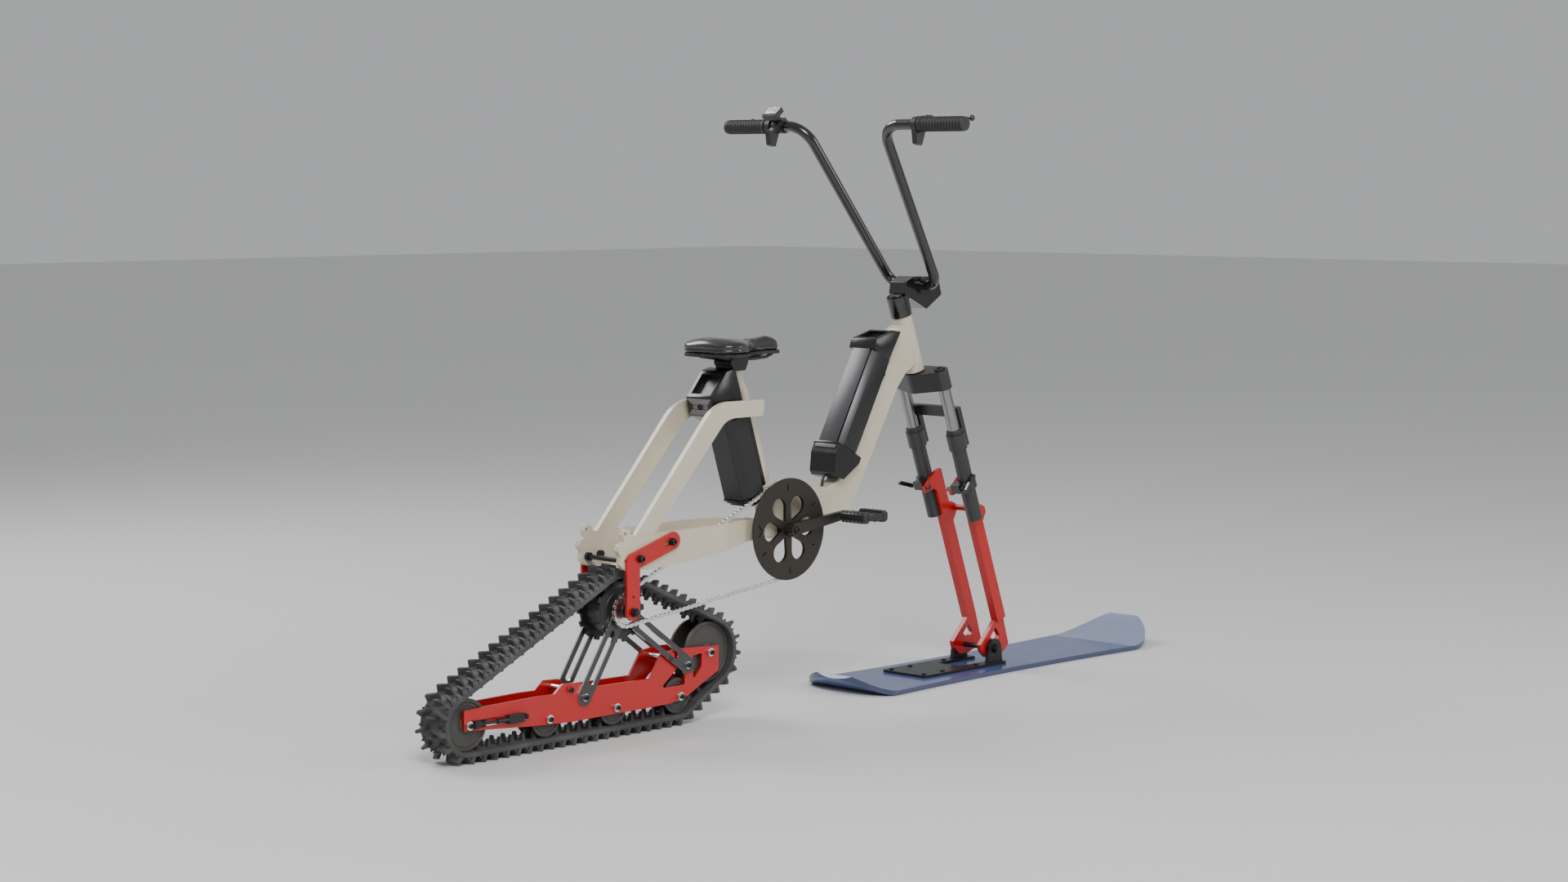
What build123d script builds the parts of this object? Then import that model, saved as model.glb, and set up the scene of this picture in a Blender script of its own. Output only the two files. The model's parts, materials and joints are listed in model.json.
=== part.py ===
from build123d import *
import math
import os

os.makedirs("parts", exist_ok=True)

# Ski bike in millimetres. +X is forward, towards the ski's nose, +Y is the rider's left, +Z is up.
# The origin is on the ground, under the pivot that joins the ski to the fork legs.

# Fits
running_fit = 0.05
seat_gap = 0.3

# Steering axis
steer_lean = 20.0
steer_ground_x = 35.0
head_low = 763.0
head_high = 899.0
head_radius = 22.5
headset_radius = 18.0
headset_height = 12.0
steerer_radius = 14.3
steerer_low = 722.0
steerer_high = 940.0

# Suspension fork, measured from the steering axis
fork_offset = 16.0
fork_half_spacing = 62.0
crown_low = 714.0
crown_high = 760.0
crown_end_radius = 19.0
crown_middle_radius = 25.0
stanchion_radius = 14.0
stanchion_bore = 11.0
stanchion_low = 440.0
crown_roof = 3.0
damper_rod_radius = 5.0
piston_low = 520.0
piston_height = 20.0
lower_radius = 17.5
lower_low = 383.0
lower_high = 600.0
lower_collar_radius = 21.5
lower_collar_height = 38.0
lower_floor = 12.0
fork_travel = 40.0
arch_low = 632.0
arch_high = 657.0
arch_depth = 9.0
arch_leg_width = 20.0

# Fork legs that carry the ski
leg_inner = 36.0
leg_outer = 56.0
leg_strap_thickness = 8.4
leg_rear = 17.0
leg_front = 47.0
leg_top = 492.0
leg_fork_height = 112.0
leg_tab_front = 65.0
leg_tab_low = 362.0
leg_tab_high = 404.0
foot_thickness = 12.0
crossbar_radius = 6.5
clamp_low = 464.0
clamp_high = 484.0
clamp_wall = 5.5
skewer_offset = -14.0
skewer_height = 470.0
skewer_radius = 3.0

# Ski
pivot_height = 50.0
pivot_radius = 6.0
pivot_nut_radius = 11.0
board_thickness = 11.0
board_flat_rear = -420.0
board_flat_front = 450.0
board_tail_x = -505.0
board_nose_x = 585.0
board_tail_rise = 34.0
board_nose_rise = 56.0
board_waist_half = 111.0
board_tail_half = 128.0
board_nose_half = 126.0
base_thickness = 6.0
base_rear = -262.0
base_front = 36.0
base_half_width = 66.0
base_notch_half = 34.0
base_notch_rear = -100.0
lug_inner = 49.0
lug_outer = 59.0
lug_radius = 22.0
board_waist_x = 60.0
mount_bolt_half = 50.0
mount_bolt_radius = 3.0
mount_bolt_head = 5.5
mount_bolt_depth = 8.0

# Frame
bb_x = -702.0
bb_z = 394.0
shell_radius = 21.0
shell_half = 34.0
spindle_radius = 8.5
cartridge_bb_radius = 16.5
tube_half = 20.0
tube_edge = 6.0
seat_tube_radius = 17.0
seat_tube_lean = 17.7
seat_tube_length = 184.0
mast_radius = 14.0
mast_wall = 2.5
mast_bend = 60.0
stay_inner = 53.0
stay_outer = 65.0
rod_radius = 5.0
nut_radius = 9.0
nut_height = 8.0

# Drive axle and its brackets
drive_x = -1185.0
drive_z = 264.0
axle_radius = 6.0
bracket_thickness = 6.0
bracket_width = 37.0
bracket_bolt_radius = 4.0
bolt_head_radius = 8.0
bolt_head_height = 6.0

# Track
belt_half = 41.0
belt_band = 10.0
belt_lug = 14.0
belt_lug_length = 13.0
belt_lug_pitch = 30.0
belt_guide_height = 16.0
belt_guide_length = 10.0
belt_guide_root = 1.0
tensioner_thickness = 10.0
tensioner_screw_radius = 3.0
tensioner_nut_radius = 5.0
drum_belt_radius = 68.0
rear_idler_x = -1600.0
rear_idler_radius = 54.0
front_idler_x = -927.0
front_idler_z = 147.0
front_idler_radius = 66.0
bogie_stations = (-1388.0, -1202.0, -1017.0)
bogie_radius = 39.0
belt_play = 0.4
wheel_axle_radius = 6.0
bearing_radius = 11.0
plate_inner = 28.0
plate_outer = 34.0
strut_thickness = 4.0
strut_gap = 0.1
strut_width = 37.0
strut_slot = 14.0
strut_bolt_radius = 4.0
adjuster_slot = 16.0
bearing_width = 8.0
wheel_inner = 19.5
wheel_outer = 26.0
wheel_rim = 9.0
wheel_dish = 2.0
wheel_hub_wall = 5.0
belt_lane_half = 14.0
guide_inner = 6.0
guide_outer = 18.0
motor_radius = 50.0
motor_wall = 4.0
stator_half = 18.0
flange_inner = 24.0
flange_outer = 30.0
flange_root = 60.0
drum_teeth = 14
drum_tooth_width = 12.0
hub_radius = 14.0

# Chain drive
chain_plane = 47.0
chain_half_width = 3.5
chain_half_height = 4.0
chain_pitch = 12.7
ring_teeth = 52
sprocket_teeth = 16
ring_thickness = 3.0
guard_radius = 112.0
guard_inner = 51.0
guard_thickness = 3.0
crank_length = 169.0
crank_lean = 6.8
arm_inner = 60.0
arm_outer = 73.0
arm_hub_radius = 13.0
arm_tip_radius = 9.0
arm_sleeve_radius = 15.0
window_count = 6
window_outer = 57.0
window_inner = 23.0
window_radius = 21.0
window_tip = 3.0
pedal_inner = 88.0
pedal_width = 70.0
pedal_length = 80.0
pedal_height = 25.0
pedal_corner = 7.0
pedal_axle_reach = 67.0
pedal_hole_length = 19.2
pedal_hole_width = 49.0
pedal_hole_middle = 21.6
pedal_hole_offset = 33.5
pedal_axle_radius = 4.5

# Cockpit
bar_radius = 12.0
bar_wall = 2.0
bar_half_width = 354.0
bar_top_run = 236.0
bar_foot_half = 68.0
bar_top_x = -473.0
bar_top_z = 1274.0
bar_foot_x = -226.0
bar_foot_z = 912.0
bar_top_bend = 55.0
bar_foot_bend = 38.0
grip_length = 122.0
grip_radius = 16.5
grip_rib_count = 14
stem_half = 24.0
stem_clamp_half = 31.0
grip_cap = 3.0
grip_flange = 6.0
rib_height = 1.0
stem_high = 947.0
stem_barrel_radius = 25.0
stem_clamp_wall = 8.0
perch_width = 14.0
perch_gap = 4.0
perch_radius = 17.0
lever_reach = 34.0
lever_rise = 13.0
lever_pocket = 30.0
lever_pin_low = 4.0
lever_pin_length = 17.0
lever_thickness = 5.0
lever_play = 0.3
lever_pin_radius = 3.0
throttle_radius = 16.0
throttle_width = 12.0
throttle_gap = 6.0
display_gap = 8.0
display_ring_half = 6.0
display_width = 40.0
display_height = 34.0
display_thickness = 12.0
display_lean = 38.0
button_radius = 3.5
button_drop = -12.5
button_depth = 5.0
button_travel = 1.5

# Saddle and batteries
saddle_rear = -917.0
saddle_nose = -686.0
saddle_low = 772.0
battery_half = 40.0
battery_depth = 58.0

RIGHT = -1
LEFT = 1
SIDES = (RIGHT, LEFT)
TAGS = ((RIGHT, "right"), (LEFT, "left"))


def save(piece, name):
    """Label a finished piece and write it as one STEP file."""
    piece.part.label = name
    export_step(piece.part, "parts/" + name + ".step")


def side_plane(y):
    """Plane seen from the right side: local X is forward, local Y is up, extruding goes to -Y."""
    return Plane.XZ.offset(-y)


def layer_plane(side, inner, outer):
    """Plane where a layer between two distances from the middle starts, on one side."""
    return side_plane(-inner if side == RIGHT else outer)


def on_steer(forward, height):
    """Side-view point from a distance ahead of the steering axis and a height along it."""
    lean = math.radians(steer_lean)
    x = steer_ground_x + forward * math.cos(lean) - height * math.sin(lean)
    return (x, forward * math.sin(lean) + height * math.cos(lean))


def steer_plane(height):
    """Plane across the steering axis: local X is forward, local Y is the rider's left."""
    lean = math.radians(steer_lean)
    x, z = on_steer(0, height)
    return Plane(
        origin=(x, 0, z),
        x_dir=(math.cos(lean), 0, math.sin(lean)),
        z_dir=(-math.sin(lean), 0, math.cos(lean)),
    )


def shifted(anchor, offsets):
    """Outline points given as offsets from an anchor."""
    return [(anchor[0] + dx, anchor[1] + dz) for dx, dz in offsets]


def along(start, end, share):
    """Point at a share of the way between two points."""
    return (start[0] + (end[0] - start[0]) * share, start[1] + (end[1] - start[1]) * share)


def span(start, end):
    """Distance between two side-view points."""
    return math.hypot(end[0] - start[0], end[1] - start[1])


def direction(start, end):
    """Angle in degrees of the line between two side-view points."""
    return math.degrees(math.atan2(end[1] - start[1], end[0] - start[0]))


def add_outline(outline, rounding=0):
    """Face inside a closed outline, in the current sketch, with its corners rounded."""
    with BuildSketch() as face:
        with BuildLine():
            Polyline(*outline, close=True)
        make_face()
        if rounding:
            fillet(face.vertices(), rounding)
    add(face.sketch)


def round_corner(section, point, radius):
    """Round the corner of a sketch that lies nearest to a point."""
    fillet(section.vertices().sort_by_distance((point[0], point[1], 0))[0], radius)


def link(start, end, width, mode=Mode.ADD):
    """Round-ended bar between two points of the current sketch."""
    with Locations(along(start, end, 0.5)):
        SlotCenterToCenter(span(start, end), width, rotation=direction(start, end), mode=mode)


def rod(point, radius, y_left, y_right, bore=0, mode=Mode.ADD):
    """Round bar across the bike at a side-view point, with an optional bore."""
    with BuildSketch(side_plane(y_left)) as section:
        with Locations(point):
            Circle(radius)
            if bore:
                Circle(bore, mode=Mode.SUBTRACT)
    extrude(section.sketch, amount=y_left - y_right, mode=mode)


def side_rod(side, point, radius, inner, outer, bore=0, mode=Mode.ADD):
    """Round bar between two distances from the middle, on one side."""
    y_left, y_right = sorted((side * inner, side * outer), reverse=True)
    rod(point, radius, y_left, y_right, bore, mode)


def hexagon(side, point, radius, inner, outer):
    """Hexagonal nut or bolt head on one side."""
    with BuildSketch(layer_plane(side, inner, outer)) as section:
        with Locations(point):
            RegularPolygon(radius, 6)
    extrude(section.sketch, amount=outer - inner)


def plate(side, outline, inner, outer, rounding=0, mode=Mode.ADD):
    """Flat plate with an outline in the side view, between two distances from the middle."""
    with BuildSketch(layer_plane(side, inner, outer)) as section:
        add_outline(outline, rounding)
    extrude(section.sketch, amount=outer - inner, mode=mode)


def bar_between(start, end, radius, mode=Mode.ADD):
    """Round bar between two points in space."""
    run = Vector(*end) - Vector(*start)
    with BuildSketch(Plane(origin=start, z_dir=run)) as section:
        Circle(radius)
    extrude(section.sketch, amount=run.length, mode=mode)


def bent_bar(points, radii, radius, bore=0):
    """Round bar or tube along straight runs joined by arcs."""
    with BuildLine() as route:
        FilletPolyline(*points, radius=radii)
    heading = Vector(*points[1]) - Vector(*points[0])
    with BuildSketch(Plane(origin=points[0], z_dir=heading)) as section:
        Circle(radius)
        if bore:
            Circle(bore, mode=Mode.SUBTRACT)
    sweep(section.sketch, path=route.line)


# Stations worked out from the sizes above
bb = (bb_x, bb_z)
drive = (drive_x, drive_z)
pivot = (0.0, pivot_height)
ground_run = belt_band + belt_lug
rear_idler = (rear_idler_x, ground_run + rear_idler_radius)
front_idler = (front_idler_x, front_idler_z)
bogies = [(x, ground_run + bogie_radius) for x in bogie_stations]
strut_inner = plate_outer
strut_middle = strut_inner + strut_thickness
strut_outer = strut_middle + strut_thickness
bracket_outer = stay_outer + bracket_thickness
seat_lean = math.radians(seat_tube_lean)
seat_base = (bb[0] - 28.0, bb[1] + 101.0)
seat_top = (
    seat_base[0] - seat_tube_length * math.sin(seat_lean),
    seat_base[1] + seat_tube_length * math.cos(seat_lean),
)
ring_radius = chain_pitch / (2 * math.sin(math.pi / ring_teeth))
sprocket_radius = chain_pitch / (2 * math.sin(math.pi / sprocket_teeth))
board_top = board_thickness
base_top = board_top + base_thickness

# Head tube
with BuildPart() as head_tube:
    with BuildSketch(steer_plane(head_low)):
        Circle(head_radius)
        Circle(headset_radius, mode=Mode.SUBTRACT)
    extrude(amount=head_high - head_low)
save(head_tube, "head_tube")


# Down tube: a deep flat-sided box that curves round at the bottom to the crank shell and seat tube
down_tube_outline = shifted(bb, [
    (462, 338), (425, 319), (397, 287), (287, 102), (259, 54), (216, 9), (146, 7),
    (40, -14), (-8, -24), (-26, 6), (-44, 96), (-12, 106), (10, 99), (117, 74), (146, 72),
    (196, 90), (231, 116), (275, 182), (363, 341), (385, 408), (402, 424),
    (435, 436),
])
with BuildPart() as down_tube:
    with BuildSketch(side_plane(tube_half)) as section:
        add_outline(down_tube_outline)
    extrude(amount=2 * tube_half)
    chamfer(down_tube.faces().filter_by(Axis.Y).edges(), tube_edge / 2)
    with BuildSketch(steer_plane(head_low - head_high / 2)):
        Circle(head_radius)
    extrude(amount=head_high + head_high / 2, mode=Mode.SUBTRACT)
    rod(bb, shell_radius, shell_half, -shell_half, mode=Mode.SUBTRACT)
save(down_tube, "down_tube")

# Crank shell
with BuildPart() as bottom_bracket_shell:
    rod(bb, shell_radius, shell_half, -shell_half, bore=cartridge_bb_radius)
save(bottom_bracket_shell, "bottom_bracket_shell")

# Bearings held by the frame: two in the head tube and the cartridge in the crank shell
with BuildPart() as frame_bearings:
    for start in (head_low, head_high - headset_height):
        with BuildSketch(steer_plane(start)):
            Circle(headset_radius)
            Circle(steerer_radius + running_fit, mode=Mode.SUBTRACT)
        extrude(amount=headset_height)
    rod(bb, cartridge_bb_radius, shell_half, -shell_half, bore=spindle_radius + running_fit)
save(frame_bearings, "frame_bearings")


def seat_local(up, back):
    """Side-view point from a height along the seat tube and a distance behind its middle line."""
    x = seat_base[0] - up * math.sin(seat_lean) - back * math.cos(seat_lean)
    return (x, seat_base[1] + up * math.cos(seat_lean) - back * math.sin(seat_lean))


# Seat tube, and the narrower mast that bends back over it to the saddle
with BuildPart() as seat_tube:
    bar_between((seat_base[0], 0, seat_base[1]), (seat_top[0], 0, seat_top[1]), seat_tube_radius)
    add(down_tube.part, mode=Mode.SUBTRACT)
save(seat_tube, "seat_tube")

mast_knee = seat_local(seat_tube_length + 26, 0)
mast_points = [
    (seat_top[0], 0, seat_top[1]),
    (mast_knee[0], 0, mast_knee[1]),
    (mast_knee[0] - 23, 0, mast_knee[1] + 40),
    (mast_knee[0] - 30, 0, mast_knee[1] + 68),
]
with BuildPart() as seat_mast:
    bent_bar(mast_points, [mast_bend, mast_bend], mast_radius, mast_radius - mast_wall)
save(seat_mast, "seat_mast")

# Rear stays: one flat band a side, level beside the seat tube and then straight down to the dropout
stay_outline = shifted(seat_top, [
    (-9, -22), (-9, 13), (-151, 14), (-387, -249), (-332, -249), (-118, -22),
])
stay_crown_radius = 95
stay_inner_radius = 58
bridge_outline = shifted(seat_top, [(-14, -16), (8, -16), (8, 10), (-14, 10)])
with BuildPart() as seat_stays:
    with BuildSketch(side_plane(stay_inner)) as section:
        add_outline(bridge_outline)
    extrude(amount=2 * stay_inner)
    add(seat_tube.part, mode=Mode.SUBTRACT)
    add(seat_mast.part, mode=Mode.SUBTRACT)
    for side in SIDES:
        with BuildSketch(layer_plane(side, stay_inner, stay_outer)) as section:
            with BuildLine():
                Polyline(*stay_outline, close=True)
            make_face()
            round_corner(section, stay_outline[2], stay_crown_radius)
            round_corner(section, stay_outline[5], stay_inner_radius)
        extrude(amount=stay_outer - stay_inner)
save(seat_stays, "seat_stays")

# Dropouts: cast plates where the stays meet, with three lobes behind
stay_foot_z = stay_outline[3][1]
dropout_joint = (stay_outline[4][0] - 22, stay_foot_z - 73)
dropout_outline = [
    (stay_outline[3][0] + 2, stay_foot_z), (stay_outline[4][0], stay_foot_z), dropout_joint,
    (drive_x - 18, drive_z + 88), (drive_x - 33, drive_z + 100), (drive_x - 30, drive_z + 118),
    (drive_x - 40, drive_z + 130), (drive_x - 34, drive_z + 142), (drive_x - 20, drive_z + 146),
    (drive_x - 25, drive_z + 162), (drive_x - 18, drive_z + 174), (drive_x - 6, drive_z + 172),
    (drive_x + 2, drive_z + 160),
]
dropout_eye = (drive_x - 17, drive_z + 163)
rod_point = (drive_x - 15, drive_z + 107)
bracket_elbow = (drive_x, drive_z + 104)
bracket_front = (drive_x + 116, drive_z + 139)
bracket_bolts_at = (
    along(bracket_elbow, bracket_front, 0.16), along(bracket_elbow, bracket_front, 0.95),
)
bracket_slot_end = along(bracket_elbow, bracket_front, 0.8)
bracket_spare_hole = (drive_x, drive_z + 32)
spare_hole_radius = 3.0
axle_nut_radius = 10.0
bolt_tail = stay_inner - nut_height
dropout_bores = (
    (dropout_eye, bracket_bolt_radius), (rod_point, rod_radius),
    (bracket_bolts_at[0], bracket_bolt_radius),
)
with BuildPart() as dropouts:
    for side in SIDES:
        plate(side, dropout_outline, stay_inner, stay_outer, rounding=3)
    for point, radius in dropout_bores:
        rod(point, radius, stay_outer, -stay_outer, mode=Mode.SUBTRACT)
    add(seat_stays.part, mode=Mode.SUBTRACT)

# Chain stays: deep bars beside the track that bend in ahead of it to the crank shell
chain_stay_side = [
    (stay_outline[4][0], stay_foot_z), dropout_joint, (bb_x - 295, bb_z - 38),
    (bb_x - 122, bb_z - 18), (bb_x, bb_z - 14), (bb_x, bb_z + 16), (bb_x - 127, bb_z + 29),
]
stay_bend_rear = bb_x - 186
stay_bend_front = bb_x - 112
stay_bend_radius = 40
stay_front_inner = shell_half - 18
stay_waist_inner = shell_half - 14
stay_waist_outer = shell_half + 4
with BuildPart() as chain_stays:
    with BuildSketch(side_plane(stay_outer)) as section:
        add_outline(chain_stay_side)
    extrude(amount=2 * stay_outer)
    with BuildSketch() as plan:
        for side in SIDES:
            corners = [
                (dropout_joint[0], side * stay_inner), (stay_bend_rear, side * stay_inner),
                (stay_bend_front, side * stay_waist_inner), (bb_x, side * stay_front_inner),
                (bb_x, side * shell_half), (stay_bend_front, side * stay_waist_outer),
                (stay_bend_rear - 17, side * stay_outer), (dropout_joint[0], side * stay_outer),
            ]
            with BuildLine():
                Polyline(*corners, close=True)
            make_face()
            for corner in (corners[1], corners[2], corners[5], corners[6]):
                round_corner(plan, corner, stay_bend_radius)
    extrude(plan.sketch, amount=bb_z + 2 * stay_outer, mode=Mode.INTERSECT)
    rod(bb, shell_radius, stay_outer, -stay_outer, mode=Mode.SUBTRACT)
    rod(bracket_bolts_at[1], bracket_bolt_radius, stay_outer, -stay_outer, mode=Mode.SUBTRACT)
    add(down_tube.part, mode=Mode.SUBTRACT)
    add(dropouts.part)
save(chain_stays, "chain_stays")

# Brackets that hang the drive axle below the dropouts
with BuildPart() as axle_brackets:
    for side in SIDES:
        with BuildSketch(layer_plane(side, stay_outer, bracket_outer)) as section:
            link(drive, bracket_elbow, bracket_width)
            link(bracket_elbow, bracket_front, bracket_width)
            for point, radius in ((drive, axle_radius), (bracket_bolts_at[0], bracket_bolt_radius),
                                  (bracket_spare_hole, spare_hole_radius)):
                with Locations(point):
                    Circle(radius, mode=Mode.SUBTRACT)
            link(bracket_slot_end, bracket_bolts_at[1], 2 * bracket_bolt_radius, mode=Mode.SUBTRACT)
        extrude(amount=bracket_thickness)
save(axle_brackets, "axle_brackets")

# Bolts of the brackets with their nuts, and the tie rod between the dropouts
with BuildPart() as bracket_bolts:
    for side in SIDES:
        for point in bracket_bolts_at:
            side_rod(side, point, bracket_bolt_radius, bolt_tail, bracket_outer)
            side_rod(side, point, bolt_head_radius, bracket_outer, bracket_outer + bolt_head_height)
            side_rod(side, point, bolt_head_radius, bolt_tail, stay_inner, bore=bracket_bolt_radius)
        side_rod(side, rod_point, nut_radius, bolt_tail, stay_inner)
    rod(rod_point, rod_radius, stay_outer, -stay_outer)
save(bracket_bolts, "bracket_bolts")

axle_end = bracket_outer + 2 * bolt_head_height
with BuildPart() as drive_axle:
    rod(drive, axle_radius, axle_end, -axle_end)
    for side in SIDES:
        hexagon(side, drive, axle_nut_radius, bracket_outer, bracket_outer + nut_height)
save(drive_axle, "drive_axle")

# Saddle: cushion on a moulded base, two rails and a clamp on the mast
mast_end = mast_points[-1]
rail_z = mast_end[2] + 6
rail_half = 20.0
rail_radius = 3.5
saddle_clamp_half = 26.0
base_low = saddle_low + 5
base_high = base_low + 7
saddle_ends = (saddle_nose - 26, saddle_rear + 24)
rail_points = [
    (saddle_ends[0], 12, base_low), (saddle_ends[0] - 22, rail_half - 4, rail_z + 2),
    (saddle_ends[0] - 60, rail_half, rail_z), (saddle_ends[1] + 50, rail_half, rail_z),
    (saddle_ends[1], rail_half + 8, base_low),
]
with BuildPart() as saddle_rails:
    bent_bar(rail_points, [12, 12, 16], rail_radius)
    mirror(about=Plane.XZ)
save(saddle_rails, "saddle_rails")

clamp_outline = shifted((mast_end[0], rail_z), [
    (-30, -7), (-18, -24), (15, -24), (24, -6), (20, 6), (-24, 6),
])
with BuildPart() as saddle_clamp:
    with BuildSketch(side_plane(saddle_clamp_half)) as section:
        add_outline(clamp_outline, 4)
    extrude(amount=2 * saddle_clamp_half)
    add(saddle_rails.part, mode=Mode.SUBTRACT)
    add(seat_mast.part, mode=Mode.SUBTRACT)
save(saddle_clamp, "saddle_clamp")

saddle_plan = [
    (saddle_nose + 4, 0), (saddle_nose - 2, 12), (saddle_nose - 60, 20), (saddle_nose - 104, 32),
    (saddle_nose - 142, 58), (saddle_nose - 178, 76), (saddle_nose - 212, 70), (saddle_rear + 3, 44),
    (saddle_rear, 0),
]
with BuildPart() as saddle_base:
    with BuildSketch(Plane.XY.offset(base_low)):
        with BuildLine():
            half = Spline(*saddle_plan)
            mirror(about=Plane.XZ)
        make_face()
    extrude(amount=base_high - base_low)
    add(saddle_rails.part, mode=Mode.SUBTRACT)
save(saddle_base, "saddle_base")

# Stations of the cushion: distance behind the nose, half width and crown height
cushion_low = base_high
cushion_stations = [
    (0, 9, 16), (18, 16, 25), (60, 22, 29), (104, 35, 27), (142, 62, 28), (178, 81, 31),
    (214, 74, 30), (231, 48, 18),
]
with BuildPart() as saddle_cushion:
    for back, half_width, crown in cushion_stations:
        foot = half_width * 0.9
        brow = half_width * 0.82
        with BuildSketch(Plane.YZ.offset(saddle_nose - back)):
            with BuildLine():
                Line((-foot, cushion_low), (foot, cushion_low))
                ThreePointArc((foot, cushion_low), (half_width, cushion_low + crown * 0.4),
                              (brow, cushion_low + crown * 0.78))
                ThreePointArc((brow, cushion_low + crown * 0.78), (0, cushion_low + crown),
                              (-brow, cushion_low + crown * 0.78))
                ThreePointArc((-brow, cushion_low + crown * 0.78),
                              (-half_width, cushion_low + crown * 0.4), (-foot, cushion_low))
            make_face()
    loft()
save(saddle_cushion, "saddle_cushion")


def front_local(up, out):
    """Side-view point from a distance up the front battery and a height off its underside."""
    lean = math.radians(front_battery_lean)
    x = front_battery_base[0] + up * math.cos(lean) - out * math.sin(lean)
    return (x, front_battery_base[1] + up * math.sin(lean) + out * math.cos(lean))


def local_plane(local, up):
    """Plane across a battery: local X is the rider's left, local Y points away from the frame."""
    low = local(up, 0)
    high = local(up + 1, 0)
    return Plane(origin=(low[0], 0, low[1]), x_dir=(0, 1, 0),
                 z_dir=(high[0] - low[0], 0, high[1] - low[1]))


def battery_profile(foot, inset=0.0):
    """Cross-section of a battery case: flat sides, and an outer face with two wide bevels."""
    half = battery_half - inset
    low = foot + inset
    high = foot + battery_depth - inset
    brow = high - battery_bevel_drop
    crest = half - battery_bevel_width
    return [(-half, low), (half, low), (half, brow), (crest, high), (-crest, high), (-half, brow)]


def battery_prism(local, start, length, foot, inset=0.0, mode=Mode.ADD):
    """Prism with the battery's cross-section."""
    with BuildSketch(local_plane(local, start)) as section:
        add_outline(battery_profile(foot, inset), battery_rounding)
    extrude(section.sketch, amount=length, mode=mode)


def side_block(local, corners, half, rounding=0, mode=Mode.ADD):
    """Block across the middle with a side-view outline in a battery's own directions."""
    with BuildSketch(side_plane(half)) as section:
        add_outline([local(*corner) for corner in corners], rounding)
    extrude(section.sketch, amount=2 * half, mode=mode)


# Batteries: hollow cases with their cells inside, one above the down tube, one behind the seat tube
front_battery_base = (bb_x + 253, bb_z + 189)
front_battery_lean = 60.9
front_case_low = -45.0
front_case_length = 233.0
rear_case_low = -2.0
rear_case_length = 179.0
rear_case_foot = 38.0
battery_bevel_drop = 16.0
battery_bevel_width = 13.0
battery_rounding = 2.5
battery_wall = 2.5
cap_lip = 2.0

with BuildPart() as front_battery_case:
    battery_prism(front_local, front_case_low, front_case_length, 0)
    battery_prism(front_local, front_case_low, front_case_length, 0, battery_wall, Mode.SUBTRACT)
save(front_battery_case, "front_battery_case")

with BuildPart() as rear_battery_case:
    battery_prism(seat_local, rear_case_low, rear_case_length, rear_case_foot)
    battery_prism(seat_local, rear_case_low, rear_case_length, rear_case_foot, battery_wall,
                  Mode.SUBTRACT)
save(rear_battery_case, "rear_battery_case")

with BuildPart() as battery_cells:
    battery_prism(front_local, front_case_low + 5, front_case_length - 10, 0, battery_wall)
    battery_prism(seat_local, rear_case_low + 5, rear_case_length - 10, rear_case_foot, battery_wall)
save(battery_cells, "battery_cells")

front_case_top = front_case_low + front_case_length
rear_case_top = rear_case_low + rear_case_length
front_cap_corners = [
    (front_case_top, 0), (front_case_top + 75, -5), (front_case_top + 67, 16),
    (front_case_top + 22, 62), (front_case_top, battery_depth),
]
rear_cap_corners = [
    (rear_case_top, rear_case_foot), (rear_case_top + 105, rear_case_foot),
    (rear_case_top + 108, 66), (rear_case_top + 69, 127), (rear_case_top + 28, 131),
    (rear_case_top, rear_case_foot + battery_depth),
]
lock_radius = 6.0
lock_length = 18.0
with BuildPart() as battery_caps:
    side_block(front_local, front_cap_corners, battery_half - 1, 3)
    side_block(seat_local, rear_cap_corners, battery_half - 1, 4)
save(battery_caps, "battery_caps")

# Holders: the front battery's base and rail on the down tube, the rear one's rail on the seat tube
front_holder_corners = [
    (front_case_low, 0), (front_case_low, battery_depth), (-72, 57), (-112, 40), (-117, 30),
    (-112, 5), (-60, -24), (front_case_low, -24),
]
front_rail_corners = [
    (front_case_low, 0), (front_case_low, -30), (front_case_top, -30), (front_case_top, 0),
]
rear_rail_corners = [
    (0, 8), (0, rear_case_foot), (rear_case_top - 5, rear_case_foot), (rear_case_top - 5, 8),
]
rail_half_width = 18.0
front_lock_at = front_local(front_case_top - 30, -11)
with BuildPart() as battery_holders:
    side_block(front_local, front_holder_corners, battery_half - 2, 2)
    side_block(front_local, front_rail_corners, rail_half_width)
    side_block(seat_local, rear_rail_corners, rail_half_width)
    for frame_piece in (down_tube, seat_tube, seat_stays):
        add(frame_piece.part, mode=Mode.SUBTRACT)
    rod(front_lock_at, lock_radius, -rail_half_width, -rail_half_width - lock_length / 2)
save(battery_holders, "battery_holders")

cable_radius = 3.0
cable_top = front_local(-116, 30)
cable_points = [
    (cable_top[0], 0, cable_top[1]), (cable_top[0] - 6, 0, cable_top[1] - 12),
    (cable_top[0] - 8, 0, cable_top[1] - 34),
]
with BuildPart() as battery_cable:
    bent_bar(cable_points, 10, cable_radius)
    add(down_tube.part, mode=Mode.SUBTRACT)
    add(battery_holders.part, mode=Mode.SUBTRACT)
save(battery_cable, "battery_cable")


def steer_rod(forward, left, low, high, radius, bore=0, mode=Mode.ADD):
    """Round bar or tube parallel to the steering axis."""
    with BuildSketch(steer_plane(low)) as section:
        with Locations((forward, left)):
            Circle(radius)
            if bore:
                Circle(bore, mode=Mode.SUBTRACT)
    extrude(section.sketch, amount=high - low, mode=mode)


def steer_box(forward_range, left_range, low, high, mode=Mode.ADD):
    """Block with its sides along and across the steering axis."""
    middle = (sum(forward_range) / 2, sum(left_range) / 2)
    width = forward_range[1] - forward_range[0]
    depth = left_range[1] - left_range[0]
    with BuildSketch(steer_plane(low)) as section:
        with Locations(middle):
            Rectangle(width, depth)
    extrude(section.sketch, amount=high - low, mode=mode)


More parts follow.
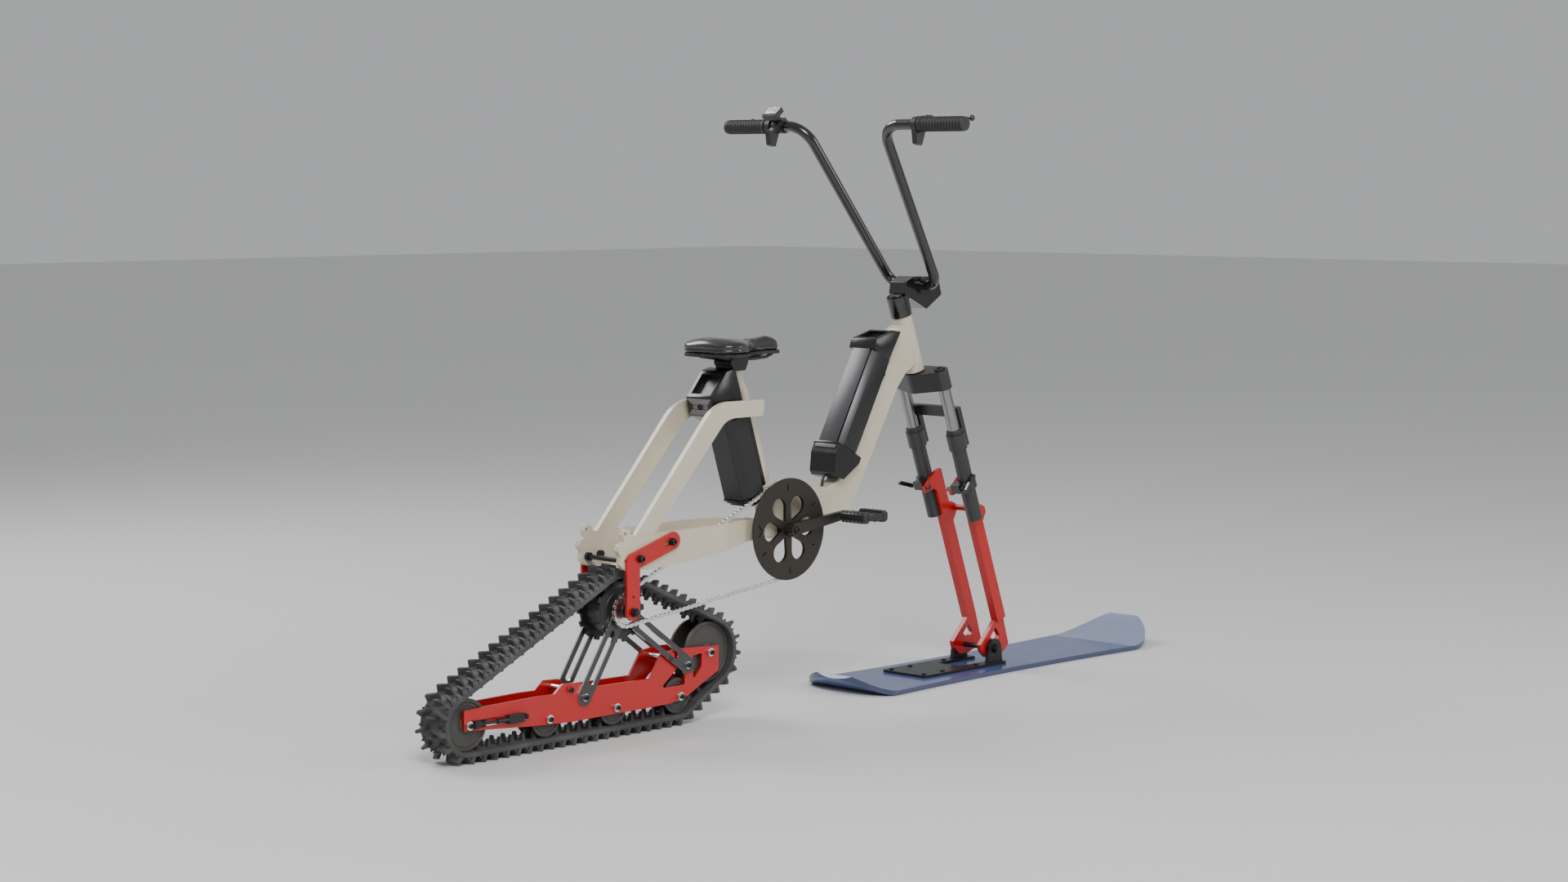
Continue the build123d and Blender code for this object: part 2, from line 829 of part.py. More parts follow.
def steer_outline(corners):
    """Side-view points from pairs of distance ahead of the steering axis and height along it."""
    return [on_steer(*corner) for corner in corners]


# Fork crown with its steerer tube
steerer_bore = 11.0
crown_race_radius = 17.5
with BuildPart() as fork_crown:
    with BuildSketch(steer_plane(crown_low)) as section:
        Circle(crown_middle_radius)
        for side in SIDES:
            with Locations((fork_offset, side * fork_half_spacing)):
                Circle(crown_end_radius)
        make_hull()
    extrude(amount=crown_high - crown_low)
    steer_rod(0, 0, crown_high, head_low - running_fit, crown_race_radius)
    steer_rod(0, 0, crown_high, steerer_high, steerer_radius)
    steer_rod(0, 0, crown_low, steerer_high, steerer_bore, mode=Mode.SUBTRACT)
    for side in SIDES:
        steer_rod(fork_offset, side * fork_half_spacing, crown_low, crown_high - crown_roof,
                  stanchion_radius, mode=Mode.SUBTRACT)
save(fork_crown, "fork_crown")

with BuildPart() as stanchions:
    for side in SIDES:
        steer_rod(fork_offset, side * fork_half_spacing, stanchion_low, crown_high - crown_roof,
                  stanchion_radius, bore=stanchion_bore)
save(stanchions, "stanchions")

# Sliding lower legs, joined by an arch in front of the stanchions
arch_rear = fork_offset + stanchion_radius + 6
arch_reach = fork_half_spacing + arch_leg_width / 2
with BuildPart() as fork_lowers:
    for side in SIDES:
        middle = side * fork_half_spacing
        steer_rod(fork_offset, middle, lower_low, lower_high, lower_radius)
        steer_rod(fork_offset, middle, lower_high - lower_collar_height, lower_high,
                  lower_collar_radius)
        steer_box((arch_rear - 4, arch_rear + arch_depth),
                  (middle - arch_leg_width / 2, middle + arch_leg_width / 2),
                  lower_high - lower_collar_height, arch_high)
    steer_box((arch_rear, arch_rear + arch_depth), (-arch_reach, arch_reach), arch_low, arch_high)
    for side in SIDES:
        middle = side * fork_half_spacing
        steer_rod(fork_offset, middle, lower_low + lower_floor, arch_high,
                  stanchion_radius + running_fit, mode=Mode.SUBTRACT)
save(fork_lowers, "fork_lowers")

# Damper rods on the floors of the lower legs, with their pistons inside the stanchions
with BuildPart() as fork_rods:
    for side in SIDES:
        middle = side * fork_half_spacing
        steer_rod(fork_offset, middle, lower_low + lower_floor, piston_low, damper_rod_radius)
        steer_rod(fork_offset, middle, piston_low, piston_low + piston_height,
                  stanchion_bore - running_fit)
save(fork_rods, "fork_rods")

# Stem on the steerer, with its clamp under the handlebar
stem_bar = (bar_foot_x, bar_foot_z)
stem_outline = [
    (-289, 894), (-284, 922), (-256, 934), (-190, 932), (-170, 922), (-161, 890), (-213, 858),
]
with BuildPart() as stem:
    steer_rod(0, 0, head_high + running_fit, stem_high, stem_barrel_radius)
    with BuildSketch(side_plane(stem_half)) as section:
        add_outline(stem_outline, 5)
    extrude(amount=2 * stem_half)
    rod(stem_bar, bar_radius + stem_clamp_wall, stem_clamp_half, -stem_clamp_half)
    steer_rod(0, 0, head_high, steerer_high, steerer_radius, mode=Mode.SUBTRACT)
    rod(stem_bar, bar_radius, stem_clamp_half, -stem_clamp_half, mode=Mode.SUBTRACT)
save(stem, "stem")

bar_top = (bar_top_x, bar_top_z)
bar_bend_half = bar_half_width - bar_top_run
bar_points = [
    (bar_top_x, bar_half_width, bar_top_z), (bar_top_x, bar_bend_half, bar_top_z),
    (bar_foot_x, bar_foot_half, bar_foot_z), (bar_foot_x, -bar_foot_half, bar_foot_z),
    (bar_top_x, -bar_bend_half, bar_top_z), (bar_top_x, -bar_half_width, bar_top_z),
]
bar_bends = [bar_top_bend, bar_foot_bend, bar_foot_bend, bar_top_bend]
with BuildPart() as handlebar:
    bent_bar(bar_points, bar_bends, bar_radius, bar_radius - bar_wall)
save(handlebar, "handlebar")

# Grips: closed sleeves with ribs and a flange at the inner end
grip_inner = bar_half_width - grip_length
grip_outer = bar_half_width + grip_cap
rib_pitch = (grip_length - grip_flange) / grip_rib_count
with BuildPart() as grips:
    for side in SIDES:
        side_rod(side, bar_top, grip_radius - rib_height, grip_inner, grip_outer)
        side_rod(side, bar_top, grip_radius + rib_height, grip_inner, grip_inner + grip_flange)
        for rib in range(grip_rib_count):
            start = grip_inner + grip_flange + rib * rib_pitch
            side_rod(side, bar_top, grip_radius, start, start + rib_pitch / 2)
        side_rod(side, bar_top, bar_radius, grip_inner, bar_half_width, mode=Mode.SUBTRACT)
save(grips, "grips")

# Lever perches on the bar: a clamp ring with a pivot bracket in front
perch_inner = grip_inner - perch_gap - perch_width
perch_outer = perch_inner + perch_width
lever_pivot = (bar_top_x + lever_reach, perch_inner + perch_width / 2)
lever_middle_z = bar_top_z + lever_rise
lever_pocket_height = lever_thickness + 2 * lever_play
perch_outline = shifted(bar_top, [
    (0, 17), (44, 21), (44, 5), (20, -14), (8, -46), (-8, -42), (-12, -12),
])
with BuildPart() as lever_perches:
    for side in SIDES:
        side_rod(side, bar_top, perch_radius, perch_inner, perch_outer)
        plate(side, perch_outline, perch_inner, perch_outer, rounding=3)
        with BuildSketch(Plane.XY.offset(lever_middle_z - lever_pocket_height / 2)) as section:
            with Locations((lever_pivot[0] + 4, side * lever_pivot[1])):
                Rectangle(lever_pocket, perch_width + 2)
        extrude(section.sketch, amount=lever_pocket_height, mode=Mode.SUBTRACT)
        side_rod(side, bar_top, bar_radius, perch_inner, perch_outer, mode=Mode.SUBTRACT)
        with BuildSketch(Plane.XY.offset(bar_top_z + lever_pin_low)) as section:
            with Locations((lever_pivot[0], side * lever_pivot[1])):
                Circle(lever_pin_radius)
        extrude(section.sketch, amount=lever_pin_length)
save(lever_perches, "lever_perches")

# Brake levers: blades that reach out along the grips, pulled towards them
for side, tag in TAGS:
    blade = [
        (lever_pivot[0] - 4, lever_pivot[1] - 7), (lever_pivot[0] + 9, lever_pivot[1] - 6),
        (lever_pivot[0] + 22, lever_pivot[1] + 14), (lever_pivot[0] + 27, lever_pivot[1] + 60),
        (lever_pivot[0] + 24, lever_pivot[1] + 104), (lever_pivot[0] + 16, lever_pivot[1] + 112),
        (lever_pivot[0] + 15, lever_pivot[1] + 60), (lever_pivot[0] + 10, lever_pivot[1] + 24),
        (lever_pivot[0] - 4, lever_pivot[1] + 7),
    ]
    with BuildPart() as brake_lever:
        with BuildSketch(Plane.XY.offset(lever_middle_z - lever_thickness / 2)) as section:
            add_outline([(x, side * y) for x, y in blade], 3)
            with Locations((lever_pivot[0], side * lever_pivot[1])):
                Circle(lever_pin_radius + running_fit, mode=Mode.SUBTRACT)
        extrude(amount=lever_thickness)
    save(brake_lever, "brake_lever_" + tag)

# Thumb throttle on the left side: a ring on the bar with a paddle, inside the display's ring
display_left = perch_inner - display_gap - display_ring_half
throttle_outer = display_left - display_ring_half - throttle_gap
throttle_inner = throttle_outer - throttle_width
throttle_outline = shifted(bar_top, [(-14, -10), (-38, -18), (-42, -11), (-38, -4), (-14, 6)])
with BuildPart() as throttle_lever:
    rod(bar_top, throttle_radius, throttle_outer, throttle_inner)
    with BuildSketch(side_plane(throttle_outer)) as section:
        add_outline(throttle_outline, 3)
    extrude(amount=throttle_width)
    rod(bar_top, bar_radius + running_fit, throttle_outer, throttle_inner, mode=Mode.SUBTRACT)
save(throttle_lever, "throttle_lever")


def display_plane(height):
    """Plane across the display: local X is the rider's left, local Y is up its tilted face."""
    lean = math.radians(display_lean)
    middle = (bar_top_x - 16, bar_top_z + 29)
    normal = (-math.sin(lean), 0, math.cos(lean))
    origin = (middle[0] + normal[0] * height, display_left, middle[1] + normal[2] * height)
    return Plane(origin=origin, x_dir=(0, 1, 0), z_dir=normal)


# Display on a ring round the bar, tilted towards the rider, with one button under its screen
display_outer = display_left + display_ring_half
display_inner = display_left - display_ring_half
display_neck = shifted(bar_top, [(-10, 10), (-26, 22), (-6, 32), (10, 12)])
display_button_low = display_thickness / 2 - button_depth + button_travel + seat_gap
with BuildPart() as display_unit:
    with BuildSketch(display_plane(-display_thickness / 2)):
        RectangleRounded(display_width, display_height, 3)
    extrude(amount=display_thickness)
    rod(bar_top, throttle_radius, display_outer, display_inner)
    with BuildSketch(side_plane(display_outer)) as section:
        add_outline(display_neck)
    extrude(section.sketch, amount=2 * display_ring_half)
    rod(bar_top, bar_radius, display_outer, display_inner, mode=Mode.SUBTRACT)
    with BuildSketch(display_plane(display_thickness / 2 - button_depth)) as section:
        with Locations((0, button_drop)):
            Circle(button_radius + running_fit)
    extrude(section.sketch, amount=display_thickness, mode=Mode.SUBTRACT)
save(display_unit, "display_unit")

with BuildPart() as display_button:
    with BuildSketch(display_plane(display_button_low)):
        with Locations((0, button_drop)):
            Circle(button_radius)
    extrude(amount=button_depth)
save(display_button, "display_button")


def leg_plate(side, corners, inner, outer, rounding=0, mode=Mode.ADD):
    """Plate on one side with its outline measured from the steering axis."""
    plate(side, steer_outline(corners), inner, outer, rounding, mode)


# Welded ski legs: a beam, a strap beside the fork leg, a tab for the cross bar and an open foot
beam_outline = [
    (leg_rear, leg_fork_height), (leg_front, leg_fork_height), (leg_front, lower_low),
    (leg_rear, lower_low),
]
strap_outline = [
    (leg_rear, lower_low - 3), (leg_front, lower_low - 3), (leg_front, leg_top),
    (leg_rear + 13, leg_top + 2), (-22, leg_top - 18), (-22, leg_top - 34), (8, leg_top - 36),
    (leg_rear, leg_top - 46),
]
tab_outline = [
    (leg_front - 7, leg_tab_low - 10), (leg_front + 6, leg_tab_low), (leg_tab_front + 3, 376),
    (leg_tab_front + 3, 390), (leg_tab_front - 5, 398), (leg_front - 7, leg_tab_high + 8),
]
crossbar_at = (leg_tab_front - 6, 385)
foot_outline = [
    on_steer(leg_rear, leg_fork_height + 3), (-42, 60), (-36, 44), (-18, 29), (12, 28), (44, 38),
    (62, 54), on_steer(leg_front, leg_fork_height + 3),
]
foot_window = [(13, 98), (-5, 76), (3, 69), (22, 69), (29, 77)]
strap_outer = leg_inner + leg_strap_thickness
foot_outer = leg_inner + foot_thickness
with BuildPart() as ski_legs:
    for side in SIDES:
        leg_plate(side, beam_outline, leg_inner, leg_outer)
        leg_plate(side, strap_outline, leg_inner, strap_outer, 2)
        leg_plate(side, tab_outline, leg_inner, leg_outer - 4, 3)
        plate(side, foot_outline, leg_inner, foot_outer, 4)
        plate(side, foot_window, leg_inner, foot_outer, 2, Mode.SUBTRACT)
    rod(on_steer(*crossbar_at), crossbar_radius, leg_inner, -leg_inner)
    rod(pivot, pivot_radius + running_fit, leg_outer, -leg_outer, mode=Mode.SUBTRACT)
    rod(on_steer(skewer_offset, skewer_height), skewer_radius, leg_outer, -leg_outer,
        mode=Mode.SUBTRACT)
save(ski_legs, "ski_legs")

# Clamps that hold the straps to the fork legs, each with a skewer and a quick release lever
clamp_radius = lower_radius + clamp_wall
skewer_head = fork_half_spacing + clamp_radius - 4
with BuildPart() as leg_clamps:
    for side in SIDES:
        middle = side * fork_half_spacing
        steer_rod(fork_offset, middle, clamp_low, clamp_high, clamp_radius)
        ear = sorted((side * strap_outer, side * (fork_half_spacing + 8)))
        steer_box((skewer_offset - 8, 4), ear, clamp_low, clamp_high)
        inner_side = sorted((0, side * strap_outer))
        steer_box((-2 * clamp_radius, 3 * clamp_radius), inner_side, clamp_low, clamp_high,
                  mode=Mode.SUBTRACT)
        steer_rod(fork_offset, middle, clamp_low, clamp_high, lower_radius, mode=Mode.SUBTRACT)
    for side in SIDES:
        skewer = on_steer(skewer_offset, skewer_height)
        side_rod(side, skewer, skewer_radius, leg_inner - nut_height, skewer_head + 4)
        hexagon(side, skewer, nut_radius - 3, leg_inner - nut_height, leg_inner)
        lever_tip = on_steer(skewer_offset + side * -34, skewer_height + 22)
        with BuildSketch(layer_plane(side, skewer_head, skewer_head + 6)) as section:
            link(skewer, lever_tip, 10)
        extrude(section.sketch, amount=6)
save(leg_clamps, "leg_clamps")


def bent_strip(low, flat_end, tip_x, rise, turn):
    """Arc from the flat of the board to its raised tip, at one level of its thickness."""
    run = abs(tip_x - flat_end)
    bend = (run * run + rise * rise) / (2 * rise)
    sweep_angle = math.asin(run / bend)
    radius = bend - low
    points = []
    for share in (0, 0.5, 1):
        angle = sweep_angle * share
        points.append((flat_end + turn * radius * math.sin(angle), bend - radius * math.cos(angle)))
    return points


nose_low = bent_strip(0, board_flat_front, board_nose_x, board_nose_rise, 1)
nose_high = bent_strip(board_thickness, board_flat_front, board_nose_x, board_nose_rise, 1)
tail_low = bent_strip(0, board_flat_rear, board_tail_x, board_tail_rise, -1)
tail_high = bent_strip(board_thickness, board_flat_rear, board_tail_x, board_tail_rise, -1)
mount_bolts_x = (base_rear + 16, (base_rear + base_notch_rear) / 2, base_notch_rear + 40)
mount_bolt_points = [(x, side * mount_bolt_half) for x in mount_bolts_x for side in SIDES]

# Ski board: a flat run between a raised nose and a raised tail, narrower at the waist
with BuildPart() as ski_board:
    with BuildSketch(side_plane(board_tail_half)) as section:
        with BuildLine():
            Line(tail_low[0], nose_low[0])
            ThreePointArc(*nose_low)
            Line(nose_low[2], nose_high[2])
            ThreePointArc(*nose_high)
            Line(nose_high[0], tail_high[0])
            ThreePointArc(*tail_high)
            Line(tail_high[2], tail_low[2])
            ThreePointArc(*tail_low)
        make_face()
    extrude(amount=2 * board_tail_half)
    with BuildSketch() as plan:
        with BuildLine():
            for side in SIDES:
                ThreePointArc((board_flat_rear, side * board_tail_half),
                              (board_waist_x, side * board_waist_half),
                              (board_flat_front, side * board_nose_half))
            for side in SIDES:
                Line((board_flat_rear, 0), (board_flat_rear, side * board_tail_half))
                Line((board_flat_front, 0), (board_flat_front, side * board_nose_half))
        make_face()
        with Locations((board_flat_rear, 0)):
            Ellipse(board_flat_rear - board_tail_x, board_tail_half)
        with Locations((board_flat_front, 0)):
            Ellipse(board_nose_x - board_flat_front, board_nose_half)
    extrude(plan.sketch, amount=board_nose_rise + 2 * board_thickness, mode=Mode.INTERSECT)
    with BuildSketch(Plane.XY.offset(board_top - mount_bolt_depth)) as bores:
        with Locations(*mount_bolt_points):
            Circle(mount_bolt_radius)
    extrude(bores.sketch, amount=mount_bolt_depth, mode=Mode.SUBTRACT)
save(ski_board, "ski_board")

# Ski mount: a base plate with an open notch in front and two lugs for the pivot axle
lug_outline = [
    (-lug_radius - 5, board_top), (lug_radius + 5, board_top), (lug_radius, pivot_height),
    (-lug_radius, pivot_height),
]
with BuildPart() as ski_mount:
    with BuildSketch(Plane.XY.offset(board_top)):
        with Locations(((base_rear + base_front) / 2, 0)):
            RectangleRounded(base_front - base_rear, 2 * base_half_width, 8)
        with Locations(((base_notch_rear + base_front + 10) / 2, 0)):
            Rectangle(base_front + 10 - base_notch_rear, 2 * base_notch_half, mode=Mode.SUBTRACT)
        with Locations(*mount_bolt_points):
            Circle(mount_bolt_radius, mode=Mode.SUBTRACT)
    extrude(amount=base_thickness)
    for side in SIDES:
        plate(side, lug_outline, lug_inner, lug_outer)
        side_rod(side, pivot, lug_radius, lug_inner, lug_outer)
    rod(pivot, pivot_radius, lug_outer, -lug_outer, mode=Mode.SUBTRACT)
save(ski_mount, "ski_mount")

# Bolts of the base plate, and the pivot axle with its nuts
with BuildPart() as ski_fasteners:
    with BuildSketch(Plane.XY.offset(board_top - mount_bolt_depth)) as section:
        with Locations(*mount_bolt_points):
            Circle(mount_bolt_radius)
    extrude(section.sketch, amount=mount_bolt_depth + base_thickness)
    with BuildSketch(Plane.XY.offset(base_top)) as section:
        with Locations(*mount_bolt_points):
            Circle(mount_bolt_head)
    extrude(section.sketch, amount=mount_bolt_radius)
    rod(pivot, pivot_radius, lug_outer + nut_height + 2, -lug_outer - nut_height - 2)
    for side in SIDES:
        hexagon(side, pivot, pivot_nut_radius, lug_outer, lug_outer + nut_height)
save(ski_fasteners, "ski_fasteners")

# Crank: arms on a spindle, with the pedal axles at their ends
arm_swing = math.radians(crank_lean)
arm_ends = {
    side: (bb_x - side * crank_length * math.cos(arm_swing),
           bb_z - side * crank_length * math.sin(arm_swing)) for side in SIDES
}
spindle_end = arm_outer + 5
pedal_axle_end = pedal_inner + pedal_axle_reach
with BuildPart() as crank_arms:
    for side in SIDES:
        with BuildSketch(layer_plane(side, arm_inner, arm_outer)) as section:
            with Locations(bb):
                Circle(arm_hub_radius)
            with Locations(arm_ends[side]):
                Circle(arm_tip_radius)
            make_hull()
        extrude(section.sketch, amount=arm_outer - arm_inner)
        side_rod(side, bb, arm_sleeve_radius, shell_half + 2, spindle_end)
        side_rod(side, arm_ends[side], pedal_axle_radius, arm_outer, pedal_axle_end)
        side_rod(side, arm_ends[side], pedal_axle_radius + 2, arm_outer, pedal_inner - 3)
    rod(bb, spindle_radius, spindle_end, -spindle_end, mode=Mode.SUBTRACT)
save(crank_arms, "crank_arms")

with BuildPart() as crank_spindle:
    rod(bb, spindle_radius, spindle_end, -spindle_end)
save(crank_spindle, "crank_spindle")


def ring_windows():
    """Cuts six teardrop windows, points inwards, in the current sketch about its origin."""
    with BuildSketch() as windows:
        with BuildSketch(mode=Mode.PRIVATE) as drop:
            with Locations((window_outer, 0)):
                Circle(window_radius)
            with Locations((window_inner, 0)):
                Circle(window_tip)
            make_hull()
        with PolarLocations(0, window_count, start_angle=2):
            add(drop.sketch)
    add(windows.sketch, mode=Mode.SUBTRACT)


# Chainring with its teeth between the rollers of the chain, and the guard outside it
ring_inner = chain_plane - ring_thickness / 2
with BuildPart() as chainring:
    with BuildSketch(Plane.XZ.offset(ring_inner)) as section:
        Circle(ring_radius - chain_half_height - seat_gap)
        with PolarLocations(ring_radius - 3, ring_teeth):
            Circle(3.2, mode=Mode.SUBTRACT)
        ring_windows()
        Circle(arm_sleeve_radius, mode=Mode.SUBTRACT)
    extrude(amount=ring_thickness)
chainring.part.position = (bb_x, 0, bb_z)
save(chainring, "chainring")

with BuildPart() as chain_guard:
    with BuildSketch(Plane.XZ.offset(guard_inner)) as section:
        Circle(guard_radius)
        ring_windows()
        Circle(arm_sleeve_radius, mode=Mode.SUBTRACT)
    extrude(amount=guard_thickness)
    with BuildSketch(Plane.XZ.offset(ring_inner + ring_thickness)) as section:
        Circle(window_outer + window_radius + 10)
        Circle(window_outer + window_radius + 4, mode=Mode.SUBTRACT)
    extrude(amount=guard_inner - ring_inner - ring_thickness)
chain_guard.part.position = (bb_x, 0, bb_z)
save(chain_guard, "chain_guard")

# Pedals: open blocks that turn on the pedal axles
pedal_bore_end = pedal_axle_end + seat_gap
pedal_hole_y = pedal_inner + pedal_hole_offset
for side, tag in TAGS:
    end_x, end_z = arm_ends[side]
    with BuildPart() as pedal:
        with BuildSketch(layer_plane(side, pedal_inner, pedal_inner + pedal_width)) as section:
            with Locations((end_x, end_z)):
                RectangleRounded(pedal_length, pedal_height, pedal_corner)
        extrude(amount=pedal_width)
        with BuildSketch(Plane.XY.offset(end_z - pedal_height)) as section:
            for way in (-1, 1):
                with Locations((end_x + way * pedal_hole_middle, side * pedal_hole_y)):
                    Rectangle(pedal_hole_length, pedal_hole_width)
        extrude(section.sketch, amount=2 * pedal_height, mode=Mode.SUBTRACT)
        side_rod(side, (end_x, end_z), pedal_axle_radius + running_fit, pedal_inner, pedal_bore_end,
                 mode=Mode.SUBTRACT)
    save(pedal, "pedal_" + tag)


def loop_hull(stations, grow):
    """Face of the tightest loop round a set of wheels, moved outwards by a distance."""
    with BuildSketch() as hull:
        for point, radius in stations:
            with Locations(point):
                Circle(radius + grow)
        make_hull()
    return hull.sketch


# Chain as one closed band round the chainring and the sprocket
chain_stations = ((drive, sprocket_radius), (bb, ring_radius))
with BuildPart() as chain:
    with BuildSketch(layer_plane(RIGHT, chain_plane - chain_half_width,
                                 chain_plane + chain_half_width)) as section:
        add(loop_hull(chain_stations, chain_half_height))
        add(loop_hull(chain_stations, -chain_half_height), mode=Mode.SUBTRACT)
    extrude(amount=2 * chain_half_width)
save(chain, "chain")

# Hub motor: the stator is fixed to the axle, and the drum turns round it
with BuildPart() as motor_stator:
    rod(drive, motor_radius - motor_wall - 2, stator_half, -stator_half, bore=axle_radius)
save(motor_stator, "motor_stator")

with BuildPart() as drive_drum:
    rod(drive, motor_radius, flange_outer, -flange_outer)
    for side in SIDES:
        with BuildSketch(layer_plane(side, flange_inner, flange_outer)) as section:
            with Locations(drive):
                Circle(flange_root)
                with PolarLocations(flange_root, drum_teeth):
                    Rectangle(2 * (drum_belt_radius - belt_play - flange_root), drum_tooth_width)
        extrude(section.sketch, amount=flange_outer - flange_inner)
    rod(drive, hub_radius, strut_outer + 1, -chain_plane - ring_thickness)
    rod(drive, motor_radius - motor_wall, stator_half + 2, -stator_half - 2, mode=Mode.SUBTRACT)
    rod(drive, axle_radius + running_fit, flange_outer * 2, -flange_outer * 2, mode=Mode.SUBTRACT)
save(drive_drum, "drive_drum")

with BuildPart() as chain_sprocket:
    with BuildSketch(layer_plane(RIGHT, chain_plane - 1, chain_plane + 1)) as section:
        with Locations(drive):
            Circle(sprocket_radius - chain_half_height - seat_gap)
            Circle(hub_radius, mode=Mode.SUBTRACT)
            with PolarLocations(sprocket_radius - 3, sprocket_teeth):
                Circle(3.2, mode=Mode.SUBTRACT)
    extrude(amount=2)
save(chain_sprocket, "chain_sprocket")

# Track belt: a band round the drum and the wheels, with chevron lugs outside and guide lugs inside
belt_stations = (
    (rear_idler, rear_idler_radius), (bogies[-1], bogie_radius), (front_idler, front_idler_radius),
    (drive, drum_belt_radius),
)


def tangent_angle(start, end):
    """Direction out of both circles, in radians, at the outer tangent between two wheels."""
    (start_point, start_radius), (end_point, end_radius) = start, end
    heading = math.radians(direction(start_point, end_point))
    return heading - math.acos((start_radius - end_radius) / span(start_point, end_point))


def loop_walk(stations, grow, pitch, phase=0.0):
    """Places evenly spaced along a loop outside its wheels, each turned to face outwards."""
    runs = []
    count = len(stations)
    leaving = [tangent_angle(stations[i], stations[(i + 1) % count]) for i in range(count)]
    for i in range(count):
        (x, z), radius = stations[i]
        arrive = leaving[i - 1]
        turn = (leaving[i] - arrive) % (2 * math.pi)
        runs.append(("arc", (x, z), radius + grow, arrive, turn * (radius + grow)))
        (next_x, next_z), next_radius = stations[(i + 1) % count]
        out = (math.cos(leaving[i]), math.sin(leaving[i]))
        start = (x + out[0] * (radius + grow), z + out[1] * (radius + grow))
        end = (next_x + out[0] * (next_radius + grow), next_z + out[1] * (next_radius + grow))
        runs.append(("line", start, end, leaving[i], span(start, end)))
    total = sum(run[-1] for run in runs)
    steps = round(total / pitch)
    stops = []
    for step in range(steps):
        travelled = ((step + phase) * total / steps) % total
        for kind, first, second, angle, length in runs:
            if travelled > length:
                travelled -= length
                continue
            if kind == "arc":
                angle += travelled / second
                place = (first[0] + second * math.cos(angle), first[1] + second * math.sin(angle))
            else:
                place = along(first, second, travelled / length)
            stops.append(Location((place[0], place[1], 0), (0, 0, math.degrees(angle))))
            break
    return stops


belt_lanes = ((-belt_half, -belt_lane_half, 0.0), (-belt_lane_half, belt_lane_half, 0.5),
              (belt_lane_half, belt_half, 0.0))
guide_lanes = ((-guide_outer, -guide_inner), (guide_inner, guide_outer))
with BuildPart() as track_belt:
    with BuildSketch(side_plane(belt_half)) as section:
        add(loop_hull(belt_stations, belt_band))
        add(loop_hull(belt_stations, 0), mode=Mode.SUBTRACT)
    extrude(amount=2 * belt_half)
    for low, high, phase in belt_lanes:
        with BuildSketch(side_plane(high)) as section:
            stops = loop_walk(belt_stations, belt_band + belt_lug / 2, belt_lug_pitch, phase)
            with Locations(*stops):
                Rectangle(belt_lug + 2, belt_lug_length)
        extrude(amount=high - low)
    for low, high in guide_lanes:
        with BuildSketch(side_plane(high)) as section:
            with Locations(*loop_walk(belt_stations, -belt_guide_height / 2, belt_lug_pitch)):
                Rectangle(belt_guide_height + belt_guide_root, belt_guide_length)
        extrude(amount=high - low)
    with BuildSketch(side_plane(2 * belt_half)) as section:
        with Locations((rear_idler_x / 2, -belt_half)):
            Rectangle(-2 * rear_idler_x, 2 * belt_half)
    extrude(amount=4 * belt_half, mode=Mode.SUBTRACT)
save(track_belt, "track_belt")

# Side plates of the track frame
plate_outline = [
    (rear_idler_x - 12, 109), (-1545, 111), (-1415, 113), (-1372, 112), (-1350, 130), (-1305, 128),
    (-1287, 114), (-1104, 111), (-1070, 160), (-1020, 165), (-900, 159), (-900, 105), (-994, 61),
    (-1047, 50), (-1326, 49), (-1426, 54), (rear_idler_x - 12, 68),
]
plate_windows = (
    [(-1073, 86), (-1001, 86), (-1003, 115), (-1020, 128)],
    [(-979, 145), (-950, 148), (-952, 118), (-977, 92)],
)
rear_strut_foot = (-1293, 96)
front_strut_foot = (-1002, 129)
cross_tubes_at = ((-1330, 116), (-1050, 148))
adjuster_z = rear_idler[1]
with BuildPart() as side_plates:
    for side in SIDES:
        plate(side, plate_outline, plate_inner, plate_outer, 3)
        for window in plate_windows:
            plate(side, window, plate_inner, plate_outer, 4, Mode.SUBTRACT)
        with BuildSketch(layer_plane(side, plate_inner, plate_outer)) as section:
            link(rear_idler, (rear_idler_x + 144, adjuster_z), adjuster_slot)
        extrude(section.sketch, amount=plate_outer - plate_inner, mode=Mode.SUBTRACT)
    for point in bogies + [front_idler]:
        rod(point, wheel_axle_radius, plate_outer, -plate_outer, mode=Mode.SUBTRACT)
    for point in (rear_strut_foot, front_strut_foot) + cross_tubes_at:
        rod(point, strut_bolt_radius, plate_outer, -plate_outer, mode=Mode.SUBTRACT)
save(side_plates, "side_plates")

# Struts from the drum's hubs down to the side plates, in two layers on each side
strut_layers = (
    (rear_strut_foot, strut_inner, strut_middle - strut_gap),
    (front_strut_foot, strut_middle, strut_outer),
)
with BuildPart() as struts:
    for side in SIDES:
        for foot, inner, outer in strut_layers:
            with BuildSketch(layer_plane(side, inner, outer)) as section:
                link(drive, foot, strut_width)
                link(along(drive, foot, 0.27), along(drive, foot, 0.82), strut_slot,
                     mode=Mode.SUBTRACT)
                with Locations(drive):
                    Circle(hub_radius + running_fit, mode=Mode.SUBTRACT)
                with Locations(foot):
                    Circle(strut_bolt_radius, mode=Mode.SUBTRACT)
            extrude(section.sketch, amount=outer - inner)
save(struts, "struts")

